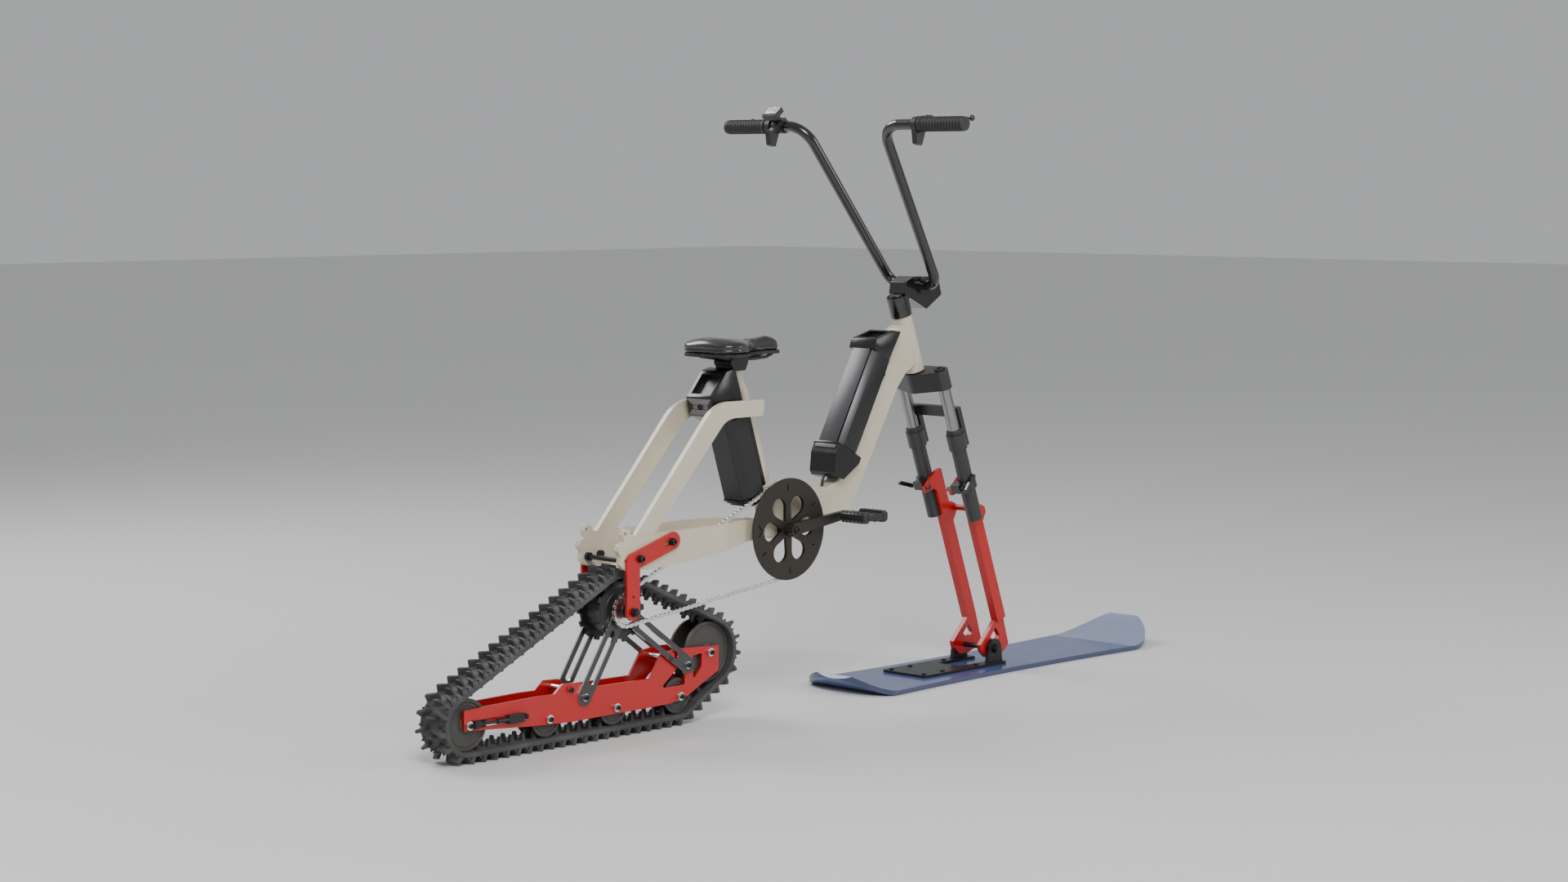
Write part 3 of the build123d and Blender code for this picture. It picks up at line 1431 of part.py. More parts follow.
# Axles of the wheels with their spacers and nuts, the cross tubes and the bolts of the struts
with BuildPart() as track_axles:
    for point in cross_tubes_at:
        rod(point, crossbar_radius, plate_inner, -plate_inner)
        rod(point, strut_bolt_radius, plate_outer + 4, -plate_outer - 4)
    for point in bogies + [front_idler, rear_idler]:
        rod(point, wheel_axle_radius, plate_outer + 6, -plate_outer - 6)
        for side in SIDES:
            side_rod(side, point, nut_radius, plate_outer, plate_outer + 5)
            side_rod(side, point, nut_radius - 1, wheel_outer, plate_inner)
    for foot, inner, outer in strut_layers:
        rod(foot, strut_bolt_radius, outer + 4, -outer - 4)
        for side in SIDES:
            side_rod(side, foot, nut_radius - 1, outer, outer + 4)
            if inner > plate_outer:
                side_rod(side, foot, nut_radius, plate_outer, inner)
save(track_axles, "track_axles")

with BuildPart() as wheel_bearings:
    for point in bogies + [front_idler, rear_idler]:
        for side in SIDES:
            side_rod(side, point, bearing_radius, wheel_outer - bearing_width, wheel_outer,
                     bore=wheel_axle_radius)
save(wheel_bearings, "wheel_bearings")

# Belt tensioners: a bolt through a block on each side plate, pulling on the rear axle
tensioner_block = shifted(rear_idler, [(97, -9), (138, -9), (138, 9), (97, 9)])
tensioner_puller = shifted(rear_idler, [(10, -7), (26, -7), (26, 7), (10, 7)])
tensioner_runs = (
    (12, 150, tensioner_screw_radius), (69, 97, tensioner_nut_radius),
    (144, 150, tensioner_nut_radius),
)
with BuildPart() as belt_tensioners:
    for side in SIDES:
        plate(side, tensioner_block, plate_outer, plate_outer + tensioner_thickness, 2)
        plate(side, tensioner_puller, plate_outer, plate_outer + tensioner_thickness - 1, 2)
        y = side * (plate_outer + tensioner_thickness / 2)
        for start, end, radius in tensioner_runs:
            bar_between((rear_idler[0] + start, y, rear_idler[1]),
                        (rear_idler[0] + end, y, rear_idler[1]), radius)
save(belt_tensioners, "belt_tensioners")

# Wheels: twin discs on a hub, bored for the bearings
wheels = [
    ("rear_idler", rear_idler, rear_idler_radius), ("front_idler", front_idler, front_idler_radius),
    ("bogie_wheel_rear", bogies[0], bogie_radius), ("bogie_wheel_middle", bogies[1], bogie_radius),
    ("bogie_wheel_front", bogies[2], bogie_radius),
]
for name, point, radius in wheels:
    with BuildPart() as wheel:
        rod(point, bearing_radius + wheel_hub_wall, wheel_outer, -wheel_outer)
        for side in SIDES:
            side_rod(side, point, radius - belt_play, wheel_inner, wheel_outer)
            side_rod(side, point, radius - belt_play - wheel_rim, wheel_outer - wheel_dish,
                     wheel_outer, bore=bearing_radius + wheel_hub_wall, mode=Mode.SUBTRACT)
        rod(point, bearing_radius + running_fit, wheel_outer, -wheel_outer, mode=Mode.SUBTRACT)
    save(wheel, name)
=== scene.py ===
import json
import math

import bpy
from mathutils import Matrix, Vector


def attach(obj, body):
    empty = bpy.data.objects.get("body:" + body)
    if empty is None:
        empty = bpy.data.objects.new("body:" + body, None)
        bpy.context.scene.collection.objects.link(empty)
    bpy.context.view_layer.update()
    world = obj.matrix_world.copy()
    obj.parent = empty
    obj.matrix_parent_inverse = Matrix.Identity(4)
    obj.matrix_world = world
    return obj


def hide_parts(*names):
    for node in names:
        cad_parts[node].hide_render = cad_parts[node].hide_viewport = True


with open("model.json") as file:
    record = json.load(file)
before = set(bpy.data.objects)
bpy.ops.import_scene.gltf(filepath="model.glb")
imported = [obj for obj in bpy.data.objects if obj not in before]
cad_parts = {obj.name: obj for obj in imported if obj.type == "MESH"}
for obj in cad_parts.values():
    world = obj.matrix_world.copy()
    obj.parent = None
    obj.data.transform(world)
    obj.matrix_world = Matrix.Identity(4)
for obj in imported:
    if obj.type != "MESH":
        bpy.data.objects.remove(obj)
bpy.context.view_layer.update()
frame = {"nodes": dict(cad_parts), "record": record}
nodes = frame["nodes"]

MM = 0.001
RIGHT = -1
LEFT = 1
SIDES = (RIGHT, LEFT)
FULL_TURN = 2 * math.pi

# Stations of the ski bike, in millimetres: X forward, Y to the rider's left, Z up
crank_at = (-702.0, 394.0)
drive_at = (-1185.0, 264.0)
rear_idler_at = (-1600.0, 78.0)
front_idler_at = (-927.0, 147.0)
bogies_at = ((-1388.0, 63.0), (-1202.0, 63.0), (-1017.0, 63.0))
rear_strut_foot = (-1293.0, 96.0)
front_strut_foot = (-1002.0, 129.0)
ski_pivot_at = (0.0, 50.0)
bar_top_at = (-473.0, 1274.0)
steer_lean = math.radians(20.0)
steer_ground_x = 35.0
chain_plane = 47.0
chain_pitch = 12.7


# Modelling by hand: one primitive or one point at a time, shaped in edit mode

def settle():
    """Leaves edit mode with nothing selected."""
    if bpy.context.mode != "OBJECT":
        bpy.ops.object.mode_set(mode="OBJECT")
    bpy.ops.object.select_all(action="DESELECT")


def grasp(piece):
    """Makes one piece the only one selected, and active."""
    settle()
    piece.select_set(True)
    bpy.context.view_layer.objects.active = piece


def edit(piece, select="SELECT", mode="VERT"):
    """Opens a piece in edit mode."""
    grasp(piece)
    bpy.ops.object.mode_set(mode="EDIT")
    bpy.ops.mesh.select_mode(type=mode)
    bpy.ops.mesh.select_all(action=select)


def face_outwards(piece):
    """Turns all the faces of a piece outwards."""
    edit(piece)
    bpy.ops.mesh.normals_make_consistent(inside=False)
    settle()


def weld(piece, distance=0.00002):
    """Joins points that lie together and turns the faces outwards."""
    edit(piece)
    bpy.ops.mesh.remove_doubles(threshold=distance)
    bpy.ops.mesh.normals_make_consistent(inside=False)
    settle()


def draw(name, corners):
    """Line drawn by pulling one point from corner to corner."""
    settle()
    bpy.ops.mesh.primitive_plane_add(size=MM)
    piece = bpy.context.active_object
    piece.name = name
    edit(piece)
    bpy.ops.mesh.merge(type="CENTER")
    bpy.ops.transform.translate(value=Vector(corners[0]) * MM)
    for start, end in zip(corners, corners[1:]):
        step = (Vector(end) - Vector(start)) * MM
        bpy.ops.mesh.extrude_vertices_move(TRANSFORM_OT_translate={"value": step})
    return piece


def trace(name, corners, run):
    """Solid with a drawn outline, pulled out along a run."""
    piece = draw(name, corners)
    bpy.ops.mesh.select_all(action="SELECT")
    bpy.ops.mesh.edge_face_add()
    bpy.ops.mesh.extrude_region_move(TRANSFORM_OT_translate={"value": Vector(run) * MM})
    bpy.ops.mesh.select_all(action="SELECT")
    bpy.ops.mesh.normals_make_consistent(inside=False)
    settle()
    return piece


def turn(name, profile, steps=32):
    """Turned piece about Z from a profile of radius and height, closed at both ends."""
    piece = draw(name, [(radius, 0, height) for radius, height in profile])
    bpy.ops.mesh.select_all(action="SELECT")
    bpy.ops.mesh.spin(steps=steps, angle=FULL_TURN, center=(0, 0, 0), axis=(0, 0, 1))
    settle()
    weld(piece)
    return piece


def place(piece, matrix):
    """Puts a piece in its place, which then lies in its mesh."""
    grasp(piece)
    piece.matrix_world = matrix
    bpy.ops.object.transform_apply(location=True, rotation=True, scale=True)
    settle()
    return piece


def join(name, pieces):
    """Joins pieces into one."""
    settle()
    for piece in pieces:
        piece.select_set(True)
    bpy.context.view_layer.objects.active = pieces[0]
    if len(pieces) > 1:
        bpy.ops.object.join()
    joined = pieces[0]
    joined.name = name
    settle()
    return joined


def twin(piece, matrix):
    """Copy of a piece with its own mesh, moved to another place."""
    copied = bpy.data.objects.new(piece.name + "_copy", piece.data.copy())
    bpy.context.scene.collection.objects.link(copied)
    copied.matrix_world = matrix
    return copied


def repeat(name, model, places):
    """Copies a model to each of several places and joins the copies."""
    copies = [twin(model, matrix) for matrix in places]
    bpy.data.objects.remove(model)
    joined = join(name, copies)
    grasp(joined)
    bpy.ops.object.transform_apply(location=True, rotation=True, scale=True)
    face_outwards(joined)
    return joined


def soften(piece, width, segments=2, angle=30):
    """Rounds the edges of a piece."""
    grasp(piece)
    rounding = piece.modifiers.new("Rounding", "BEVEL")
    rounding.width = width * MM
    rounding.segments = segments
    rounding.limit_method = "ANGLE"
    rounding.angle_limit = math.radians(angle)
    rounding.use_clamp_overlap = True
    bpy.ops.object.modifier_apply(modifier=rounding.name)
    settle()
    return piece


def carve(piece, cutter):
    """Cuts one piece with another, which goes."""
    grasp(piece)
    cut = piece.modifiers.new("Cut", "BOOLEAN")
    cut.operation = "DIFFERENCE"
    cut.solver = "EXACT"
    cut.object = cutter
    bpy.ops.object.modifier_apply(modifier=cut.name)
    bpy.data.objects.remove(cutter)
    settle()
    return piece


def smooth(piece, angle=35):
    """Shades a piece smooth except at its edges."""
    grasp(piece)
    bpy.ops.object.shade_smooth_by_angle(angle=math.radians(angle))
    settle()


def choose(piece, test):
    """Opens a piece with the faces selected whose centre and normal pass a test."""
    edit(piece, "DESELECT", "FACE")
    bpy.ops.object.mode_set(mode="OBJECT")
    for face in piece.data.polygons:
        face.select = test(face.center / MM, face.normal)
    bpy.ops.object.mode_set(mode="EDIT")


def recess(piece, test, rim, depth):
    """Sinks a pocket into the faces that pass a test, inside a rim."""
    choose(piece, test)
    bpy.ops.mesh.inset(thickness=rim * MM, depth=0)
    bpy.ops.mesh.inset(thickness=0.6 * MM, depth=-depth * MM)
    settle()


def finish_piece(piece, coats, body, stands_for=(), angle=35):
    """Shades a piece smooth, gives it its materials and its body, and hides the parts it stands for.
    """
    smooth(piece, angle)
    piece.data.materials.clear()
    for coat in coats:
        piece.data.materials.append(coat)
    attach(piece, body)
    if stands_for:
        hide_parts(*stands_for)
    return piece


def outward(side, point, distance):
    """Place beside the bike where local Z points away from the middle and local X forward."""
    along = Vector((0, side, 0))
    forward = Vector((1, 0, 0))
    matrix = Matrix((forward, along.cross(forward), along)).transposed().to_4x4()
    matrix.translation = Vector((point[0], side * distance, point[1])) * MM
    return matrix


def steer_at(forward, left, height):
    """Place on the fork: local Z runs up the steering axis and local X points forward."""
    turned = Matrix.Rotation(-steer_lean, 4, "Y")
    origin = Matrix.Translation(Vector((steer_ground_x, 0, 0)) * MM)
    return origin @ turned @ Matrix.Translation(Vector((forward, left, height)) * MM)


def steer_point(forward, height):
    """Side-view point from a distance ahead of the steering axis and a height along it."""
    x = steer_ground_x + forward * math.cos(steer_lean) - height * math.sin(steer_lean)
    return (x, forward * math.sin(steer_lean) + height * math.cos(steer_lean))


def side_points(points, y):
    """Side-view points at one distance across the bike."""
    return [(x, y, z) for x, z in points]


def side_solid(name, points, side, inner, outer):
    """Solid with an outline in the side view, between two distances from the middle."""
    return trace(name, side_points(points, side * inner), (0, side * (outer - inner), 0))


def circle_points(centre, radius, count, start=0.0):
    """Points evenly round a circle in the side view."""
    return [
        (centre[0] + radius * math.cos(start + FULL_TURN * i / count),
         centre[1] + radius * math.sin(start + FULL_TURN * i / count))
        for i in range(count)
    ]


class Loop:
    """Tightest line round a row of wheels, a distance outside them, anticlockwise in the side view."""

    def __init__(self, wheels, grow):
        self.grow = grow
        self.runs = []
        leaving = []
        for i, (start, start_radius) in enumerate(wheels):
            end, end_radius = wheels[(i + 1) % len(wheels)]
            gap = Vector(end) - Vector(start)
            heading = math.atan2(gap.y, gap.x)
            leaving.append(heading - math.acos((start_radius - end_radius) / gap.length))
        for i, (centre, radius) in enumerate(wheels):
            reach = radius + grow
            turned = (leaving[i] - leaving[i - 1]) % FULL_TURN
            self.runs.append((Vector(centre), None, reach, leaving[i - 1], turned * reach))
            end, end_radius = wheels[(i + 1) % len(wheels)]
            out = Vector((math.cos(leaving[i]), math.sin(leaving[i])))
            first = Vector(centre) + out * reach
            last = Vector(end) + out * (end_radius + grow)
            self.runs.append((first, last, 0.0, leaving[i], (last - first).length))
        self.length = sum(run[4] for run in self.runs)

    def at(self, travelled):
        """Point of the line and its outward direction after a distance along it."""
        travelled %= self.length
        for first, last, reach, angle, length in self.runs:
            if travelled <= length:
                break
            travelled -= length
        if last is None:
            angle += travelled / reach
            out = Vector((math.cos(angle), math.sin(angle)))
            return first + out * reach, out
        out = Vector((math.cos(angle), math.sin(angle)))
        return first.lerp(last, travelled / length), out

    def wrap(self, piece):
        """Bends a straight strip round the line: X is along it, Z is outwards from the wheels."""
        for point in piece.data.vertices:
            travelled, across, height = point.co / MM
            spot, out = self.at(travelled)
            spot = spot + out * (height - self.grow)
            point.co = Vector((spot.x, across, spot.y)) * MM
        piece.data.update()


# Materials

class Value:
    """A number or colour that a material's nodes work out; Python's operators combine numbers."""

    def __init__(self, finish, socket):
        self.finish = finish
        self.socket = socket

    def math(self, operation, *values):
        return self.finish.node("ShaderNodeMath", {"operation": operation}, values)

    def __add__(self, other):
        return self.math("ADD", self, other)

    __radd__ = __add__

    def __sub__(self, other):
        return self.math("SUBTRACT", self, other)

    def __rsub__(self, other):
        return self.math("SUBTRACT", other, self)

    def __mul__(self, other):
        return self.math("MULTIPLY", self, other)

    __rmul__ = __mul__

    def size(self):
        return self.math("ABSOLUTE", self)

    def root(self):
        return self.math("SQRT", self)

    def rise(self, low, high):
        """0 below one value and 1 above the other, with a smooth step between them."""
        settings = {"interpolation_type": "SMOOTHSTEP"}
        return self.finish.node("ShaderNodeMapRange", settings, (self, low, high, 0.0, 1.0))


class Finish:
    """One material, with its shader and the patterns that vary over it."""

    def __init__(self, name, color, roughness, metallic=0.0, **constants):
        self.material = bpy.data.materials.new(name)
        self.material.use_nodes = True
        self.tree = self.material.node_tree
        self.shader = self.tree.nodes["Principled BSDF"]
        self.feed("Base Color", (*color, 1.0))
        self.feed("Roughness", roughness)
        self.feed("Metallic", metallic)
        for socket, value in constants.items():
            self.feed(socket.replace("_", " ").title(), value)
        self.where = self.node("ShaderNodeTexCoord", {}, (), 3)
        self.normal = None

    def feed(self, socket, value):
        """Sets or links one socket of the shader."""
        self.join(self.shader.inputs[socket], value)

    def join(self, socket, value):
        if isinstance(value, Value):
            self.tree.links.new(value.socket, socket)
        else:
            socket.default_value = value

    def node(self, kind, settings, values, output=0):
        """Adds a node with its settings, then the values or links of its sockets, by place or name."""
        made = self.tree.nodes.new(kind)
        for setting, value in settings.items():
            setattr(made, setting, value)
        pairs = values.items() if isinstance(values, dict) else enumerate(values)
        for socket, value in pairs:
            self.join(made.inputs[socket], value)
        return Value(self, made.outputs[output])

    def stretched(self, scale, turn=0.0, centre=(0.0, 0.0, 0.0)):
        """Object coordinates moved, turned about Y and stretched."""
        values = {"Vector": self.where, "Location": [-c for c in centre]}
        moved = self.node("ShaderNodeMapping", {}, values)
        values = {"Vector": moved, "Rotation": (0.0, turn, 0.0), "Scale": scale}
        return self.node("ShaderNodeMapping", {"vector_type": "POINT"}, values)

    def axis(self, index, vector=None):
        """One coordinate of a point, in metres."""
        return self.node("ShaderNodeSeparateXYZ", {}, (vector or self.where,), index)

    def noise(self, scale, detail=2.0, vector=None):
        values = {"Vector": vector or self.where, "Scale": scale, "Detail": detail}
        return self.node("ShaderNodeTexNoise", {}, values)

    def cells(self, scale):
        values = {"Vector": self.where, "Scale": scale}
        return self.node("ShaderNodeTexVoronoi", {}, values)

    def blend(self, share, first, second):
        """Colour between two colours."""
        values = {0: share}
        for index, tone in ((6, first), (7, second)):
            values[index] = tone if isinstance(tone, Value) else (*tone, 1.0)
        return self.node("ShaderNodeMix", {"data_type": "RGBA"}, values, 2)

    def rounded(self, radius):
        """Softens the look of sharp edges."""
        self.normal = self.node("ShaderNodeBevel", {"samples": 4}, {"Radius": radius * MM})
        self.feed("Normal", self.normal)

    def bumped(self, height, strength, depth=0.0002):
        """Raises a pattern on the surface."""
        values = {"Height": height, "Strength": strength, "Distance": depth}
        if self.normal:
            values["Normal"] = self.normal
        self.normal = self.node("ShaderNodeBump", {}, values)
        self.feed("Normal", self.normal)

    def tones(self, color, share, scale=9.0):
        """Lets the colour drift a little over the piece."""
        darker = [c * (1 - share) for c in color]
        lighter = [min(1.0, c * (1 + share)) for c in color]
        self.feed("Base Color", self.blend(self.noise(scale, 3.0), darker, lighter))

    def worn(self, roughness, spread, scale=60.0, detail=5.0, vector=None):
        """Lets the gloss vary, as handled surfaces do."""
        patches = self.noise(scale, detail, vector)
        self.feed("Roughness", patches * (2 * spread) + (roughness - spread))


def paint(name, color, roughness, coat, peel=0.05, soft=1.0):
    """Sprayed paint with a clear coat and a faint orange peel."""
    finish = Finish(name, color, roughness, coat_weight=coat, coat_roughness=0.12)
    finish.tones(color, 0.05)
    finish.worn(roughness, 0.06, 35.0)
    if soft:
        finish.rounded(soft)
    finish.bumped(finish.noise(700.0, 1.0), peel)
    return finish.material


def steel(name, color, roughness, metallic=1.0, scratch=0.08):
    """Machined metal with fine grain and smears."""
    finish = Finish(name, color, roughness, metallic)
    finish.tones(color, 0.12, 40.0)
    finish.worn(roughness, 0.09, 130.0)
    finish.rounded(0.5)
    finish.bumped(finish.noise(1500.0, 2.0), scratch, 0.0001)
    return finish.material


def moulded(name, color, roughness, grain=0.15, radius=0.6):
    """Moulded plastic or rubber with a fine grain."""
    finish = Finish(name, color, roughness)
    finish.tones(color, 0.15, 22.0)
    finish.worn(roughness, 0.08, 45.0)
    finish.rounded(radius)
    finish.bumped(finish.noise(1100.0, 3.0), grain)
    return finish.material


def stanchion_metal():
    """Grey anodised tube with fine rings from polishing."""
    color = (0.30, 0.30, 0.31)
    finish = Finish("stanchion_metal", color, 0.26, 1.0)
    rings = finish.stretched((2.0, 2.0, 900.0), steer_lean)
    finish.tones(color, 0.06)
    finish.worn(0.25, 0.03, 1.0, 2.0, rings)
    return finish.material


def strut_metal():
    """Dark anodised flats with bright cut edges."""
    finish = Finish("strut_metal", (0.07, 0.07, 0.073), 0.4, 0.7)
    normal = finish.node("ShaderNodeTexCoord", {}, (), 1)
    flat = finish.axis(1, normal).size().rise(0.6, 0.9)
    grain = finish.noise(1.0, 3.0, finish.stretched((30.0, 30.0, 800.0), 0.35))
    dark = finish.blend(grain, (0.055, 0.055, 0.058), (0.10, 0.10, 0.104))
    finish.feed("Base Color", finish.blend(flat, (0.86, 0.86, 0.87), dark))
    finish.feed("Roughness", flat * 0.22 + grain * 0.1 + 0.12)
    finish.feed("Metallic", 1.0 - flat * 0.35)
    finish.bumped(grain, 0.05, 0.0001)
    return finish.material


def ring_metal():
    """Dark brown anodised plate, brushed in circles about the crank."""
    finish = Finish("ring_metal", (0.05, 0.042, 0.036), 0.42, 0.75)
    across = finish.axis(0) - crank_at[0] * MM
    up = finish.axis(2) - crank_at[1] * MM
    radius = (across * across + up * up).root()
    rings = finish.node("ShaderNodeCombineXYZ", {}, (radius * 1.0, 0.0, 0.0))
    lines = finish.noise(2600.0, 2.0, rings)
    finish.feed("Base Color", finish.blend(lines, (0.036, 0.031, 0.027), (0.066, 0.056, 0.048)))
    finish.feed("Roughness", lines * 0.16 + 0.34)
    finish.rounded(0.5)
    finish.bumped(lines, 0.06, 0.0001)
    return finish.material


def track_rubber():
    """Grey moulded rubber, dusty and a little scuffed."""
    finish = Finish("track_rubber", (0.06, 0.06, 0.062), 0.72)
    dust = finish.noise(14.0, 6.0).rise(0.35, 0.75)
    finish.feed("Base Color", finish.blend(dust, (0.045, 0.045, 0.047), (0.078, 0.078, 0.080)))
    finish.worn(0.72, 0.1, 80.0)
    finish.rounded(0.8)
    finish.bumped(finish.noise(420.0, 4.0), 0.35, 0.0003)
    return finish.material


def saddle_leather():
    """Glossy black cover with a fine pebble grain."""
    finish = Finish("saddle_leather", (0.012, 0.012, 0.013), 0.26, coat_weight=0.5,
                    coat_roughness=0.1)
    pebbles = finish.cells(750.0)
    finish.tones((0.012, 0.012, 0.013), 0.3, 30.0)
    finish.worn(0.27, 0.07, 25.0)
    finish.bumped(pebbles, 0.12, 0.0002)
    return finish.material


def board_blue():
    """Ski board: a blue top sheet, a paler nose and dark side walls."""
    finish = Finish("board_blue", (0.07, 0.105, 0.26), 0.3, coat_weight=0.5, coat_roughness=0.08)
    forward = finish.axis(0)
    streaks = finish.noise(1.0, 4.0, finish.stretched((3.0, 60.0, 3.0)))
    nose = forward.rise(0.4490, 0.4505)
    sheet = finish.blend(streaks, (0.050, 0.082, 0.225), (0.060, 0.098, 0.260))
    tip = finish.blend(streaks, (0.21, 0.25, 0.38), (0.24, 0.285, 0.42))
    normal = finish.node("ShaderNodeTexCoord", {}, (), 1)
    wall = 1.0 - finish.axis(2, normal).size().rise(0.35, 0.6)
    dressed = finish.blend(nose, sheet, tip)
    finish.feed("Base Color", finish.blend(wall, dressed, (0.035, 0.05, 0.12)))
    finish.worn(0.3, 0.08, 18.0)
    finish.rounded(1.2)
    finish.bumped(streaks, 0.02, 0.0002)
    return finish.material


def battery_shell():
    """Satin anodised case with a fine lengthwise grain; painted shade darkens its flanks and the
    grooves along its outer face.
    """
    finish = Finish("battery_shell", (0.05, 0.05, 0.053), 0.36, 0.55)
    # Painted shade: the flanks of the case are painted near black and made non-metallic.
    painted_flank_shade = finish.axis(1).size().rise(0.0385, 0.0395)
    grain = finish.noise(1.0, 3.0, finish.stretched((20.0, 700.0, 20.0)))
    satin = finish.blend(grain, (0.07, 0.07, 0.073), (0.095, 0.095, 0.10))
    # Painted shade: the grooves along the outer face of the case are painted black.
    across = finish.axis(1).size()
    groove = across.rise(0.0262, 0.0266) * (1.0 - across.rise(0.0288, 0.0292))
    painted_groove_shade = finish.blend(groove, satin, (0.004, 0.004, 0.004))
    finish.feed("Base Color", finish.blend(painted_flank_shade, painted_groove_shade, (0.007, 0.007, 0.008)))
    finish.feed("Roughness", grain * 0.12 + 0.3)
    finish.feed("Metallic", 0.6 - painted_flank_shade * 0.6)
    finish.rounded(0.6)
    finish.bumped(grain, 0.04, 0.0001)
    return finish.material


coats = {
    "frame_paint": paint("frame_paint", (0.60, 0.53, 0.40), 0.34, 0.35),
    "red_paint": paint("red_paint", (0.46, 0.001, 0.001), 0.34, 0.25),
    "black_paint": paint("black_paint", (0.006, 0.006, 0.007), 0.2, 0.7, 0.03, 0.0),
    "fork_paint": paint("fork_paint", (0.022, 0.022, 0.024), 0.38, 0.2, 0.1),
    "stanchion_metal": stanchion_metal(),
    "dark_steel": steel("dark_steel", (0.045, 0.045, 0.047), 0.38, 0.85),
    "bright_steel": steel("bright_steel", (0.72, 0.72, 0.73), 0.2),
    "strut_metal": strut_metal(),
    "ring_metal": ring_metal(),
    "chain_metal": steel("chain_metal", (0.66, 0.66, 0.67), 0.22),
    "motor_metal": steel("motor_metal", (0.04, 0.04, 0.042), 0.42, 0.5),
    "track_rubber": track_rubber(),
    "wheel_plastic": moulded("wheel_plastic", (0.052, 0.048, 0.043), 0.5),
    "grip_rubber": moulded("grip_rubber", (0.02, 0.02, 0.021), 0.58, 0.3),
    "saddle_leather": saddle_leather(),
    "black_plastic": moulded("black_plastic", (0.016, 0.016, 0.017), 0.42),
    "battery_shell": battery_shell(),
    "battery_plastic": moulded("battery_plastic", (0.008, 0.008, 0.009), 0.26, 0.05),
    "rear_shell": moulded("rear_shell", (0.009, 0.009, 0.010), 0.34, 0.06),
    "cell_wrap": moulded("cell_wrap", (0.05, 0.12, 0.30), 0.4, 0.05),
    "board_blue": board_blue(),
    "screen_white": moulded("screen_white", (0.80, 0.81, 0.80), 0.12, 0.0),
    "trim_grey": moulded("trim_grey", (0.16, 0.16, 0.165), 0.35, 0.08),
    "screen_ink": moulded("screen_ink", (0.03, 0.03, 0.035), 0.3, 0.0),
}

for part in frame["record"]["subparts"]:
    shown = nodes[part["node"]]
    if not shown.material_slots:
        shown.data.materials.append(None)
    for slot in shown.material_slots:
        slot.material = coats[part["material_slot"]]


nodes["rear_battery_case"].material_slots[0].material = coats["rear_shell"]


# Track belt: one pitch of band with its lugs and guide teeth, repeated and bent round the wheels

belt_wheels = (
    (rear_idler_at, 54.0), (bogies_at[2], 39.0), (front_idler_at, 66.0), (drive_at, 68.0),
)
belt_half = 41.0
belt_band = 10.0


def belt_band_cell(pitch, steps):
    """One pitch of the band: its cross-section pulled along in short steps."""
    section = [
        (-belt_half, 1.5), (-belt_half, 8.0), (-belt_half + 2, belt_band), (-22, belt_band),
        (-20, belt_band - 1.2), (-16, belt_band - 1.2), (-14, belt_band), (14, belt_band),
        (16, belt_band - 1.2), (20, belt_band - 1.2), (22, belt_band), (belt_half - 2, belt_band),
        (belt_half, 8.0), (belt_half, 1.5), (belt_half - 1.5, 0), (-belt_half + 1.5, 0),
        (-belt_half, 1.5),
    ]
    cell = draw("belt_band", [(0, y, z) for y, z in section])
    bpy.ops.mesh.select_all(action="SELECT")
    shift = (pitch / steps * MM, 0, 0)
    for _ in range(steps):
        bpy.ops.mesh.extrude_edges_move(TRANSFORM_OT_translate={"value": shift})
    settle()
    weld(cell)
    return cell


def tapered_block(name, corners, height, share):
    """Block on a drawn base, narrower at its top."""
    block = trace(name, corners, (0, 0, height))
    top = corners[0][2] + height
    choose(block, lambda centre, normal: abs(centre.z - top) < 0.01)
    bpy.ops.transform.resize(value=(share[0], share[1], 1.0))
    settle()
    return block


def belt_lugs():
    """Lugs of one pitch: slanted bars on both sides, a peg between them, and guide teeth inside."""
    blocks = []
    low = belt_band - 1
    for side in SIDES:
        bar = [
            (2, side * 13.5, low), (9, side * 13.5, low), (20, side * 38, low), (20, side * 41, low),
            (13, side * 41, low), (10, side * 36, low),
        ]
        blocks.append(tapered_block("lug", bar, 15, (0.62, 0.92)))
        nub = [
            (25, side * 26, low), (29, side * 27, low), (29, side * 33, low), (25, side * 32, low),
        ]
        blocks.append(tapered_block("nub", nub, 5, (0.6, 0.8)))
        rib = [
            (1, side * 37, low), (6, side * 37, low), (6, side * 40.5, low), (1, side * 40.5, low),
        ]
        blocks.append(tapered_block("rib", rib, 5, (0.6, 0.8)))
        tooth = [
            (10, side * 6, 1), (20, side * 6, 1), (20, side * 18, 1), (10, side * 18, 1),
        ]
        blocks.append(tapered_block("tooth", tooth, -17, (0.5, 0.72)))
    peg = [
        (18, -12, low), (22, -12, low), (23, -4, low), (23, 4, low), (22, 12, low), (18, 12, low),
        (16, 4, low), (16, -4, low),
    ]
    blocks.append(tapered_block("peg", peg, 15, (0.6, 0.72)))
    for block in blocks:
        soften(block, 0.7, 1)
    return join("belt_lugs", blocks)


def make_track_belt():
    loop = Loop(belt_wheels, 5.0)
    count = round(loop.length / 30.0)
    pitch = loop.length / count
    band = belt_band_cell(pitch, 5)
    lugs = belt_lugs()
    cell = join("track_belt_tread", [band, lugs])
    places = [Matrix.Translation((pitch * i * MM, 0, 0)) for i in range(count)]
    belt = repeat("track_belt_tread", cell, places)
    loop.wrap(belt)
    weld(belt, 0.00005)
    finish_piece(belt, [coats["track_rubber"]], "track_frame", ["track_belt"], 32)


# Chain: rollers between inner and outer links, one pitch each

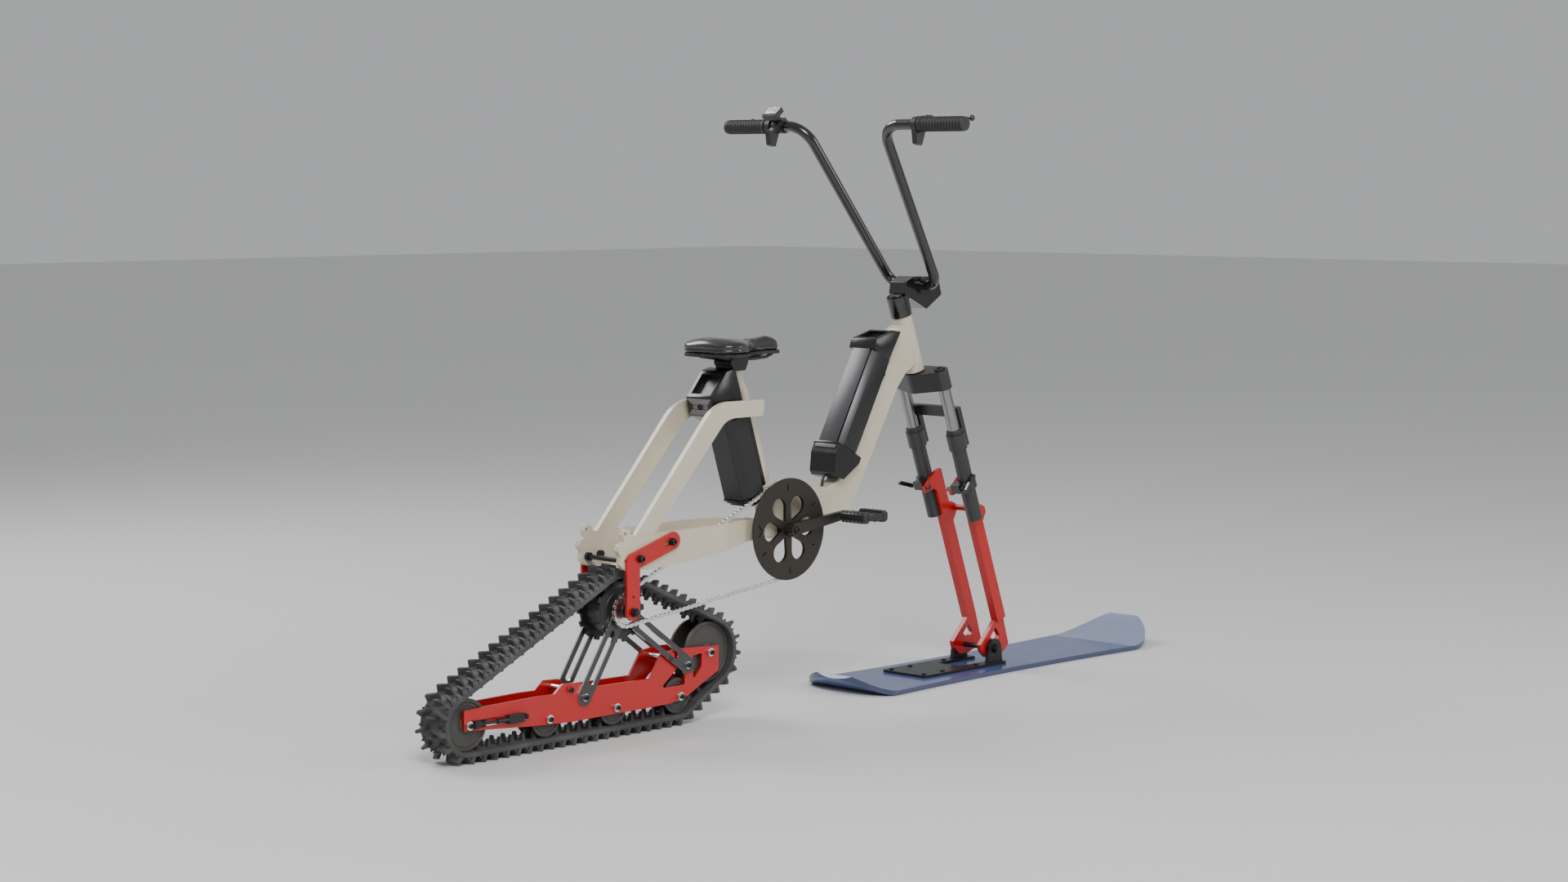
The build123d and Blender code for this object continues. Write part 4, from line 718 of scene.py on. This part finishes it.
def link_plate(name, offset, waist):
    """Figure-of-eight plate over one pitch, starting at the origin and running along X."""
    corners = []
    for i in range(9):
        angle = math.pi / 2 + math.pi * i / 8
        corners.append((4.1 * math.cos(angle), offset, 4.1 * math.sin(angle)))
    corners.append((chain_pitch / 2, offset, -waist))
    for i in range(9):
        angle = -math.pi / 2 + math.pi * i / 8
        corners.append((chain_pitch + 4.1 * math.cos(angle), offset, 4.1 * math.sin(angle)))
    corners.append((chain_pitch / 2, offset, waist))
    return trace(name, corners, (0, 0.8, 0))


def make_chain():
    loop = Loop(((drive_at, 32.55), (crank_at, 105.17)), 0.0)
    count = 2 * round(loop.length / chain_pitch / 2)
    stops = [loop.at(i * loop.length / count)[0] for i in range(count)]
    inner, outer, pins = [], [], []
    for i, here in enumerate(stops):
        there = stops[(i + 1) % count]
        angle = math.atan2(there.y - here.y, there.x - here.x)
        matrix = Matrix.Translation(Vector((here.x, -chain_plane, here.y)) * MM)
        pins.append(matrix)
        matrix = matrix @ Matrix.Rotation(-angle, 4, "Y")
        (outer if i % 2 else inner).append(matrix)
    pieces = []
    for name, offsets, places in (("inner", (-2.6, 1.8), inner), ("outer", (-3.45, 2.65), outer)):
        plates = [link_plate(name + "_plate", offset, 2.6) for offset in offsets]
        pieces.append(repeat(name + "_links", join(name + "_link", plates), places))
    roller = turn("roller", [(0, -3.6), (1.8, -3.6), (1.8, -1.8), (3.9, -1.8), (3.9, 1.8),
                             (1.8, 1.8), (1.8, 3.6), (0, 3.6)], 12)
    place(roller, Matrix.Rotation(math.pi / 2, 4, "X"))
    pieces.append(repeat("rollers", roller, pins))
    chain = join("chain_links", pieces)
    finish_piece(chain, [coats["chain_metal"]], "frame", ["chain"])


# Wheels of the track: turned twin discs on a hub

def make_wheel(name, body, at, radius):
    """One wheel: two dished discs with rubber rims, and the hub between them."""
    edge = radius - 0.4
    disc_profile = [
        (11.1, 19.5), (11.1, 26.0), (15.5, 26.0), (17.0, 25.0), (17.0, 23.8), (edge - 15, 23.8),
        (edge - 14, 24.6), (edge - 9.5, 24.6), (edge - 9, 23.9), (edge - 8.2, 23.9),
        (edge - 7.8, 25.2), (edge - 7, 26.0), (edge - 1.2, 26.0), (edge, 24.9), (edge, 20.6),
        (edge - 1.2, 19.5), (edge - 8, 19.5), (edge - 9, 20.6), (17.0, 20.6), (16.0, 19.5),
        (11.1, 19.5),
    ]
    discs = []
    for side in SIDES:
        disc = turn(name + "_disc", disc_profile, 72)
        discs.append(place(disc, outward(side, at, 0)))
    hub_profile = [(11.1, -19.5), (16.0, -19.5), (16.0, 19.5), (11.1, 19.5), (11.1, -19.5)]
    hub = turn(name + "_hub", hub_profile, 32)
    place(hub, outward(LEFT, at, 0))
    wheel = join(name + "_wheel", discs + [hub])
    face_outwards(wheel)
    finish_piece(wheel, [coats["wheel_plastic"]], body, [name])


def make_wheels():
    make_wheel("rear_idler", "rear_idler_body", rear_idler_at, 54.0)
    make_wheel("front_idler", "front_idler_body", front_idler_at, 66.0)
    for tag, at in zip(("rear", "middle", "front"), bogies_at):
        make_wheel("bogie_wheel_" + tag, tag + "_bogie", at, 39.0)


# Drum covers: ribbed discs over the ends of the motor

def make_drum_covers():
    profile = [
        (14.2, 30.0), (14.2, 33.0), (22.0, 33.0), (24.0, 31.6), (38.0, 31.6), (39.5, 32.8),
        (43.0, 32.8), (44.0, 31.8), (52.0, 31.8), (54.5, 30.6), (54.5, 30.0), (14.2, 30.0),
    ]
    covers = [place(turn("cover", profile, 64), outward(side, drive_at, 0)) for side in SIDES]
    screw = turn("cover_screw", [(0, 31.4), (3.2, 31.4), (3.2, 33.0), (2.6, 33.5), (0, 33.5)], 12)
    spots = []
    for side in SIDES:
        for spot in circle_points(drive_at, 48.0, 6, 0.3):
            spots.append(outward(side, spot, 0))
    covers.append(repeat("cover_screws", screw, spots))
    drum = join("drum_covers", covers)
    face_outwards(drum)
    finish_piece(drum, [coats["motor_metal"]], "drum")


# Cap screws

def screw_profile(radius, height):
    """Domed screw head with a round socket, standing on its seat."""
    return [
        (0, -0.4), (radius, -0.4), (radius, height * 0.75), (radius * 0.86, height),
        (radius * 0.56, height), (radius * 0.5, height * 0.94), (radius * 0.5, height * 0.35),
        (0, height * 0.35),
    ]


def make_screws():
    groups = {}

    def add(body, radius, height, matrix):
        groups.setdefault((body, radius, height), []).append(matrix)

    bracket_turn = Vector((116, 35))
    elbow = Vector((-1185, 368))
    for side in SIDES:
        for share in (0.16, 0.95):
            at = elbow + bracket_turn * share
            add("frame", 6.4, 5.0, outward(side, at, 77))
        for at in (*bogies_at, front_idler_at, rear_idler_at):
            add("track_frame", 5.6, 4.0, outward(side, at, 40))
        for at in ((-1330, 116), (-1050, 148)):
            add("track_frame", 5.6, 4.0, outward(side, at, 38))
        add("track_frame", 6.0, 4.0, outward(side, rear_strut_foot, 42))
        add("track_frame", 6.0, 4.0, outward(side, front_strut_foot, 46))
        add("crank", 7.6, 4.0, outward(side, crank_at, 78))
    bodies = {}
    for (body, radius, height), places in groups.items():
        screw = turn("screw", screw_profile(radius, height), 18)
        bodies.setdefault(body, []).append(repeat("screws", screw, places))
    for body, parts in bodies.items():
        screws = join(body + "_screws", parts)
        finish_piece(screws, [coats["dark_steel"]], body)


# Saddle: the cushion, swollen a little by its padding

def smooth_step(value, low, high):
    share = min(1.0, max(0.0, (value - low) / (high - low)))
    return share * share * (3 - 2 * share)


def shape_saddle(saddle):
    """Presses the channel down the middle of the seat and lifts the brow of the nose."""
    for point in saddle.data.vertices:
        x, y, z = point.co / MM
        on_top = smooth_step(z, 796, 806)
        channel = smooth_step(-x, 722, 760) * (1 - smooth_step(-x, 880, 912))
        z -= on_top * channel * 3.2 * math.exp(-(y / 9.0) ** 2)
        wings = smooth_step(-x, 790, 830)
        seam = wings * math.exp(-((z - 795.0) / 2.2) ** 2)
        waist = smooth_step(-x, 770, 788) * (1 - smooth_step(-x, 792, 822))
        z -= on_top * 3.0 * waist
        rise = 1 - smooth_step(-x, 686, 740)
        z += 6.0 * rise * smooth_step(z, 786, 800)
        middle = -865.0
        point.co.x = (middle + (x - middle) * (1 - 0.045 * seam)) * MM
        point.co.y = y * (1 - 0.055 * seam) * MM
        point.co.z = z * MM


def make_saddle():
    source = nodes["saddle_cushion"]
    saddle = bpy.data.objects.new("saddle_cover", source.data.copy())
    bpy.context.scene.collection.objects.link(saddle)
    weld(saddle)
    grasp(saddle)
    bpy.ops.object.transform_apply(location=True, rotation=True, scale=True)
    remesh = saddle.modifiers.new("Voxels", "REMESH")
    remesh.mode = "VOXEL"
    remesh.voxel_size = 0.004
    bpy.ops.object.modifier_apply(modifier=remesh.name)
    even = saddle.modifiers.new("Even", "SMOOTH")
    even.factor = 0.5
    even.iterations = 8
    bpy.ops.object.modifier_apply(modifier=even.name)
    swell(saddle)
    shape_saddle(saddle)
    grasp(saddle)
    finer = saddle.modifiers.new("Finer", "SUBSURF")
    finer.levels = 1
    finer.render_levels = 1
    bpy.ops.object.modifier_apply(modifier=finer.name)
    finish_piece(saddle, [coats["saddle_leather"]], "frame", ["saddle_cushion"],
                 80)


def swell(pad):
    """Fills a pad with padding by a short cloth simulation, with a limit on its swelling."""
    limit = 2.5 * MM
    before = [point.co.copy() for point in pad.data.vertices]
    grasp(pad)
    cloth = pad.modifiers.new("Cloth", "CLOTH")
    cloth.settings.use_pressure = True
    cloth.settings.uniform_pressure_force = 4.0
    cloth.settings.tension_stiffness = 40.0
    cloth.settings.compression_stiffness = 40.0
    cloth.settings.effector_weights.gravity = 0.0
    scene = bpy.context.scene
    for step in range(1, 21):
        scene.frame_set(step)
    settled = pad.evaluated_get(bpy.context.evaluated_depsgraph_get())
    after = [point.co.copy() for point in settled.data.vertices]
    pad.modifiers.remove(cloth)
    for point, start, end in zip(pad.data.vertices, before, after):
        move = end - start
        if move.length > limit:
            move *= limit / move.length
        point.co = start + move
    scene.frame_set(1)


# Batteries

def lean_point(base, lean, up, out):
    """Side-view point from a distance along a leaning line and a distance off it."""
    return (base[0] + up * math.cos(lean) - out * math.sin(lean),
            base[1] + up * math.sin(lean) + out * math.cos(lean))


def front_at(up, out):
    return lean_point((-449.0, 583.0), math.radians(60.9), up, out)


def rear_at(up, back):
    return lean_point((-730.0, 495.0), math.radians(107.7), up, back)


def make_front_shell():
    """Case of the front battery with a groove along each side of its outer face."""
    section = [
        (-40, 0), (-40, 42), (-29.2, 55.3), (-28.4, 54.0), (-27.6, 53.8), (-26.8, 55.6),
        (-26.2, 58), (26.2, 58), (26.8, 55.6), (27.6, 53.8), (28.4, 54.0), (29.2, 55.3),
        (40, 42), (40, 0),
    ]
    low = Vector(front_at(-45, 0))
    corners = []
    for y, out in section:
        x, z = front_at(-45, out)
        corners.append((x, y, z))
    run = Vector(front_at(188, 0)) - low
    shell = trace("front_battery_shell", corners, (run.x, 0, run.y))
    soften(shell, 0.5, 2, 20)
    finish_piece(shell, [coats["battery_shell"]], "frame",
                 ["front_battery_case"], 25)


def cap_solid(name, at, corners, half):
    """Cap with a side outline in a battery's own directions."""
    points = [at(*corner) for corner in corners]
    return trace(name, side_points(points, -half), (0, 2 * half, 0))


def facing(at, start, end, shares=(-1, 2)):
    """Test for the faces that look out of one side of a cap, between two of its corners."""
    first, last = Vector(at(*start)), Vector(at(*end))
    run = last - first
    out = Vector((run.y, 0, -run.x)).normalized()
    middle = (first + last) / 2

    def test(centre, normal):
        near = (Vector((centre.x, centre.z)) - middle).length < 0.3 * run.length
        return abs(normal.dot(out)) > 0.98 and near

    return test


def paint_faces(piece, index, test):
    """Gives the faces that pass a test another of the piece's materials."""
    for face in piece.data.polygons:
        if test(face.center / MM, face.normal):
            face.material_index = index


def make_front_cap():
    corners = [(188, 0), (263, -5), (255, 16), (210, 62), (188, 58)]
    cap = cap_solid("front_battery_cap", front_at, corners, 39)
    facet = facing(front_at, corners[2], corners[3])
    soften(cap, 2.2, 2)
    recess(cap, facet, 7.5, 9)
    finish_piece(cap, [coats["battery_plastic"], coats["trim_grey"]], "frame",
                 ["battery_caps"])


def make_rear_cap():
    corners = [(177, 38), (282, 38), (285, 66), (246, 127), (205, 131), (177, 96)]
    cap = cap_solid("rear_battery_cap", rear_at, corners, 39)
    handle = facing(rear_at, corners[2], corners[3])
    lock = facing(rear_at, corners[3], corners[4])
    soften(cap, 2.5, 2)
    recess(cap, handle, 8, 12)
    recess(cap, lock, 12, 2)
    finish_piece(cap, [coats["battery_plastic"], coats["trim_grey"]], "frame")
    paint_faces(cap, 1, lambda c, n: lock(c, n) and abs(c.y) < 30)
    key = turn("key_barrel", [(0, -1), (7, -1), (7, 2), (6, 3), (4.5, 3), (4.5, 1.5), (0, 1.5)], 24)
    first, last = Vector(rear_at(*corners[3])), Vector(rear_at(*corners[4]))
    out = Vector((first.y - last.y, 0, last.x - first.x)).normalized()
    if out.x > 0:
        out = -out
    along = Vector((0, 1, 0))
    matrix = Matrix((along.cross(out), along, out)).transposed().to_4x4()
    middle = (first + last) / 2
    matrix.translation = (Vector((middle.x, 0, middle.y)) - out * 2) * MM
    place(key, matrix)
    finish_piece(key, [coats["dark_steel"]], "frame")


def make_battery_trim():
    """Latch strip, seam band and lower ribs of the batteries."""
    pieces = []
    band = cap_solid("seam_band", front_at, [(-50, 20), (-50, 59), (-44, 59), (-44, 20)], 38.6)
    pieces.append(soften(band, 0.6))
    foot = [(-3, 40), (-3, 94), (-9, 92), (-24, 74), (-24, 46)]
    pieces.append(soften(cap_solid("rear_foot", rear_at, foot, 34), 2.0))
    for step in range(3):
        up = -5 - 7 * step
        rib = [(up, 60), (up, 98 - 7 * step), (up - 3, 97 - 7 * step), (up - 3, 60)]
        pieces.append(soften(cap_solid("foot_rib", rear_at, rib, 30 - 2 * step), 0.6))
    trim = join("battery_trim", pieces)
    finish_piece(trim, [coats["battery_plastic"]], "frame")
    strip = cap_solid("latch_strip", front_at, [(-60, 50), (-60, 61), (-52, 62), (-52, 50)], 30)
    soften(strip, 1.2)
    finish_piece(strip, [coats["trim_grey"]], "frame")


# Chain guard: a plate with teardrop windows, short slots and one arrow cut

def bar_cutter(name, start, end, half):
    """Straight slot cutter between two side-view points, through the guard."""
    first, last = Vector(start), Vector(end)
    run = (last - first).normalized()
    off = Vector((-run.y, run.x)) * half
    points = [first + off, last + off, last - off, first - off]
    return trace(name, side_points(points, -50), (0, -6, 0))


def make_guard():
    plate = trace("chain_guard_plate", side_points(circle_points(crank_at, 112, 120), -51),
                  (0, -3, 0))
    cutters = []
    for i in range(6):
        angle = math.radians(2 + 60 * i)
        out = Vector((math.cos(angle), math.sin(angle)))
        drop = []
        spread = math.acos((21.0 - 3.0) / 34.0)
        for step in range(17):
            turn_by = -math.pi + spread + (2 * math.pi - 2 * spread) * step / 16
            spot = out * 57 + Vector((math.cos(angle + turn_by), math.sin(angle + turn_by))) * 21
            drop.append((crank_at[0] + spot.x, crank_at[1] + spot.y))
        for step in range(5):
            turn_by = math.pi - spread + 2 * spread * step / 4
            spot = out * 23 + Vector((math.cos(angle + turn_by), math.sin(angle + turn_by))) * 3
            drop.append((crank_at[0] + spot.x, crank_at[1] + spot.y))
        cutters.append(trace("window", side_points(drop, -49), (0, -8, 0)))
    for angle in (32, 92, 212, 272, 332):
        turned = math.radians(angle)
        out = Vector((math.cos(turned), math.sin(turned)))
        start = Vector(crank_at) + out * 84
        cutters.append(bar_cutter("slot", start, start + out * 15, 1.4))
    tip = Vector(crank_at) + Vector((-84.0, 2.0))
    for rise in (13, -13):
        cutters.append(bar_cutter("arrow", tip, tip + Vector((-10, rise)), 1.4))
    hole = trace("hole", side_points(circle_points(crank_at, 15, 32), -49), (0, -8, 0))
    for cutter in cutters + [hole]:
        carve(plate, cutter)
    soften(plate, 0.5, 1)
    spacer = turn("guard_spacer", [(82, 48.5), (88, 48.5), (88, 51), (82, 51), (82, 48.5)], 72)
    place(spacer, outward(RIGHT, crank_at, 0))
    guard = join("chain_guard_plate", [plate, spacer])
    face_outwards(guard)
    finish_piece(guard, [coats["ring_metal"]], "crank", ["chain_guard"], 25)


# Pedals

def make_pedal(side, tag):
    """Platform pedal: two ribbed treads on an open cage, with an end cap."""
    lean = math.radians(6.8)
    x = crank_at[0] - side * 169 * math.cos(lean)
    z = crank_at[1] - side * 169 * math.sin(lean)
    parts = []
    for end in (-1, 1):
        tread = [
            (x + end * 22, z + 12.5), (x + end * 34, z + 12.5), (x + end * 40, z + 7),
            (x + end * 40, z - 7), (x + end * 34, z - 12.5), (x + end * 22, z - 12.5),
        ]
        parts.append(soften(side_solid("tread", tread, side, 88, 158), 1.5))
        for i in range(6):
            inner = 92 + 11 * i
            rib = [
                (x + end * 20, z + 10.5), (x + end * 35.5, z + 10.5), (x + end * 35.5, z - 10.5),
                (x + end * 20, z - 10.5),
            ]
            grown = [(x + (u - x) * 1.08, z + (v - z) * 1.2) for u, v in rib]
            parts.append(soften(side_solid("tread_rib", grown, side, inner, inner + 4), 0.8))
    for inner, outer in ((88, 94), (119, 127), (152, 158)):
        web = [(x - 26, z + 8), (x + 26, z + 8), (x + 26, z - 8), (x - 26, z - 8)]
        parts.append(soften(side_solid("web", web, side, inner, outer), 1.2))
    barrel = turn("barrel", [(4.6, 88), (9.5, 88), (10.5, 90), (8.5, 100), (8.5, 146), (10.5, 154),
                             (10.5, 157), (9, 158.4), (0, 158.4), (0, 156), (4.6, 156),
                             (4.6, 88)], 28)
    parts.append(place(barrel, outward(side, (x, z), 0)))
    pedal = join("platform_pedal_" + tag, parts)
    face_outwards(pedal)
    finish_piece(pedal, [coats["black_plastic"]], tag + "_pedal",
                 ["pedal_" + tag])


# Cockpit

def make_lever(side, tag):
    """Brake lever blade with rounded edges and a ball end."""
    pivot = (bar_top_at[0] + 34, 221.0)
    blade = [
        (-4, -7), (9, -6), (16, 2), (22, 14), (26, 36), (27, 60), (26, 84), (24, 104), (20, 110),
        (16, 112), (15, 86), (15, 60), (14, 40), (10, 24), (2, 10), (-4, 7),
    ]
    corners = [(pivot[0] + x, side * (pivot[1] + y), 1284.5) for x, y in blade]
    lever = trace("blade", corners, (0, 0, 5))
    soften(lever, 1.6, 3)
    ball = turn("ball", [(7 * math.sin(math.pi * i / 8), -7 * math.cos(math.pi * i / 8))
                         for i in range(9)], 16)
    place(ball, Matrix.Translation(Vector((pivot[0] + 19, side * (pivot[1] + 110), 1287)) * MM))
    lever = join("brake_blade_" + tag, [lever, ball])
    face_outwards(lever)
    finish_piece(lever, [coats["black_paint"]], tag + "_lever",
                 ["brake_lever_" + tag])


def display_matrix(right, up, height):
    """Place on the display's face: local X to the rider's right, local Y up the face."""
    lean = math.radians(38.0)
    across = Vector((0, -1, 0))
    rise = Vector((math.cos(lean), 0, math.sin(lean)))
    normal = Vector((-math.sin(lean), 0, math.cos(lean)))
    matrix = Matrix((across, rise, normal)).transposed().to_4x4()
    centre = Vector((-489, 200, 1303)) + across * right + rise * up + normal * height
    matrix.translation = centre * MM
    return matrix


def make_display():
    """Screen glass with a plain speed figure and a charge bar."""
    glass = trace("screen_glass", [(-18, -8.5, 6), (18, -8.5, 6), (18, 15, 6), (-18, 15, 6)],
                  (0, 0, 0.8))
    soften(glass, 0.6)
    place(glass, display_matrix(0, 0, 0))
    finish_piece(glass, [coats["screen_white"]], "steering")
    strokes = []
    lit = {"2": "abged", "4": "fgbc"}
    spots = {
        "a": (0, 9, 5, 1.2), "g": (0, 4.5, 5, 1.2), "d": (0, 0, 5, 1.2), "f": (-2.5, 6.8, 1.2, 4),
        "b": (2.5, 6.8, 1.2, 4), "e": (-2.5, 2.2, 1.2, 4), "c": (2.5, 2.2, 1.2, 4),
    }
    for figure, shift in (("2", -6), ("4", 3)):
        for stroke in lit[figure]:
            x, y, width, height = spots[stroke]
            corners = [
                (shift + x - width / 2, y - height / 2, 6.8),
                (shift + x + width / 2, y - height / 2, 6.8),
                (shift + x + width / 2, y + height / 2, 6.8),
                (shift + x - width / 2, y + height / 2, 6.8),
            ]
            strokes.append(trace("stroke", corners, (0, 0, 0.15)))
    for i in range(4):
        left = 9.5
        low = -3 + i * 4
        corners = [(left, low, 6.8), (left + 4, low, 6.8), (left + 4, low + 2.6, 6.8),
                   (left, low + 2.6, 6.8)]
        strokes.append(trace("charge", corners, (0, 0, 0.15)))
    figures = join("screen_figures", strokes)
    place(figures, display_matrix(0, 0, 0))
    finish_piece(figures, [coats["screen_ink"]], "steering")


# Fork: wiper seals over the lower legs, and caps on the crown and the stem

def make_fork_trim():
    seal_profile = [(14.2, 599), (19.0, 599), (19.0, 603), (18.2, 604), (18.2, 605.5), (19.0, 606.5),
                    (18.4, 608.5), (15.5, 611), (14.2, 611), (14.2, 599)]
    seals = [place(turn("seal", seal_profile, 36), steer_at(16, side * 62, 0)) for side in SIDES]
    wipers = join("fork_wipers", seals)
    face_outwards(wipers)
    finish_piece(wipers, [coats["grip_rubber"]], "lower_fork")
    caps = []
    for side in SIDES:
        cap_profile = [(0, 759), (12.5, 759), (12.5, 762.5), (11, 764), (5.5, 764), (5.5, 761.5),
                       (0, 761.5)]
        caps.append(place(turn("leg_cap", cap_profile, 30), steer_at(16, side * 62, 0)))
    stem_profile = [(0, 946), (17, 946), (17, 949), (15, 951.5), (5, 951.5), (5, 948.5), (0, 948.5)]
    caps.append(place(turn("stem_cap", stem_profile, 36), steer_at(0, 0, 0)))
    tops = join("fork_caps", caps)
    face_outwards(tops)
    finish_piece(tops, [coats["dark_steel"]], "steering")


# Floor, light and camera

def make_studio():
    settle()
    bpy.ops.mesh.primitive_plane_add(size=60)
    floor = bpy.context.active_object
    floor.name = "floor"
    pale = Finish("pale_floor", (0.74, 0.74, 0.73), 0.55)
    pale.worn(0.5, 0.04, 2.0)
    floor.data.materials.append(pale.material)
    world = bpy.data.worlds.new("studio")
    bpy.context.scene.world = world
    world.use_nodes = True
    world.node_tree.nodes["Background"].inputs["Color"].default_value = (0.80, 0.81, 0.83, 1.0)
    world.node_tree.nodes["Background"].inputs["Strength"].default_value = 0.55
    lamps = (
        ("key", (-3.4, -3.0, 4.0), (-0.7, 0.0, 0.5), 2.2, 190.0),
        ("fill", (1.8, -3.8, 2.2), (-0.5, 0.0, 0.5), 2.0, 60.0),
        ("rim", (-1.2, 3.6, 3.4), (-0.6, 0.0, 0.6), 2.0, 110.0),
    )
    for name, spot, aim, size, power in lamps:
        lamp = bpy.data.lights.new(name, "AREA")
        lamp.shape = "SQUARE"
        lamp.size = size
        lamp.energy = power
        holder = bpy.data.objects.new(name, lamp)
        bpy.context.scene.collection.objects.link(holder)
        holder.location = spot
        holder.rotation_euler = (Vector(aim) - Vector(spot)).to_track_quat("-Z", "Y").to_euler()


def make_camera():
    lens = bpy.data.cameras.new("camera")
    lens.lens = 67.99
    lens.sensor_width = 36.0
    lens.clip_end = 100.0
    camera = bpy.data.objects.new("camera", lens)
    bpy.context.scene.collection.objects.link(camera)
    camera.location = (-5.3540, -4.4840, 1.1625)
    camera.rotation_euler = (math.radians(84.882), 0.0, math.radians(-46.302))
    bpy.context.scene.camera = camera


make_camera()
make_studio()
make_track_belt()
make_chain()
make_wheels()
make_drum_covers()
make_screws()
make_saddle()
make_front_shell()
make_front_cap()
make_rear_cap()
make_battery_trim()
make_guard()
make_pedal(RIGHT, "right")
make_pedal(LEFT, "left")
make_lever(RIGHT, "right")
make_lever(LEFT, "left")
make_display()
make_fork_trim()
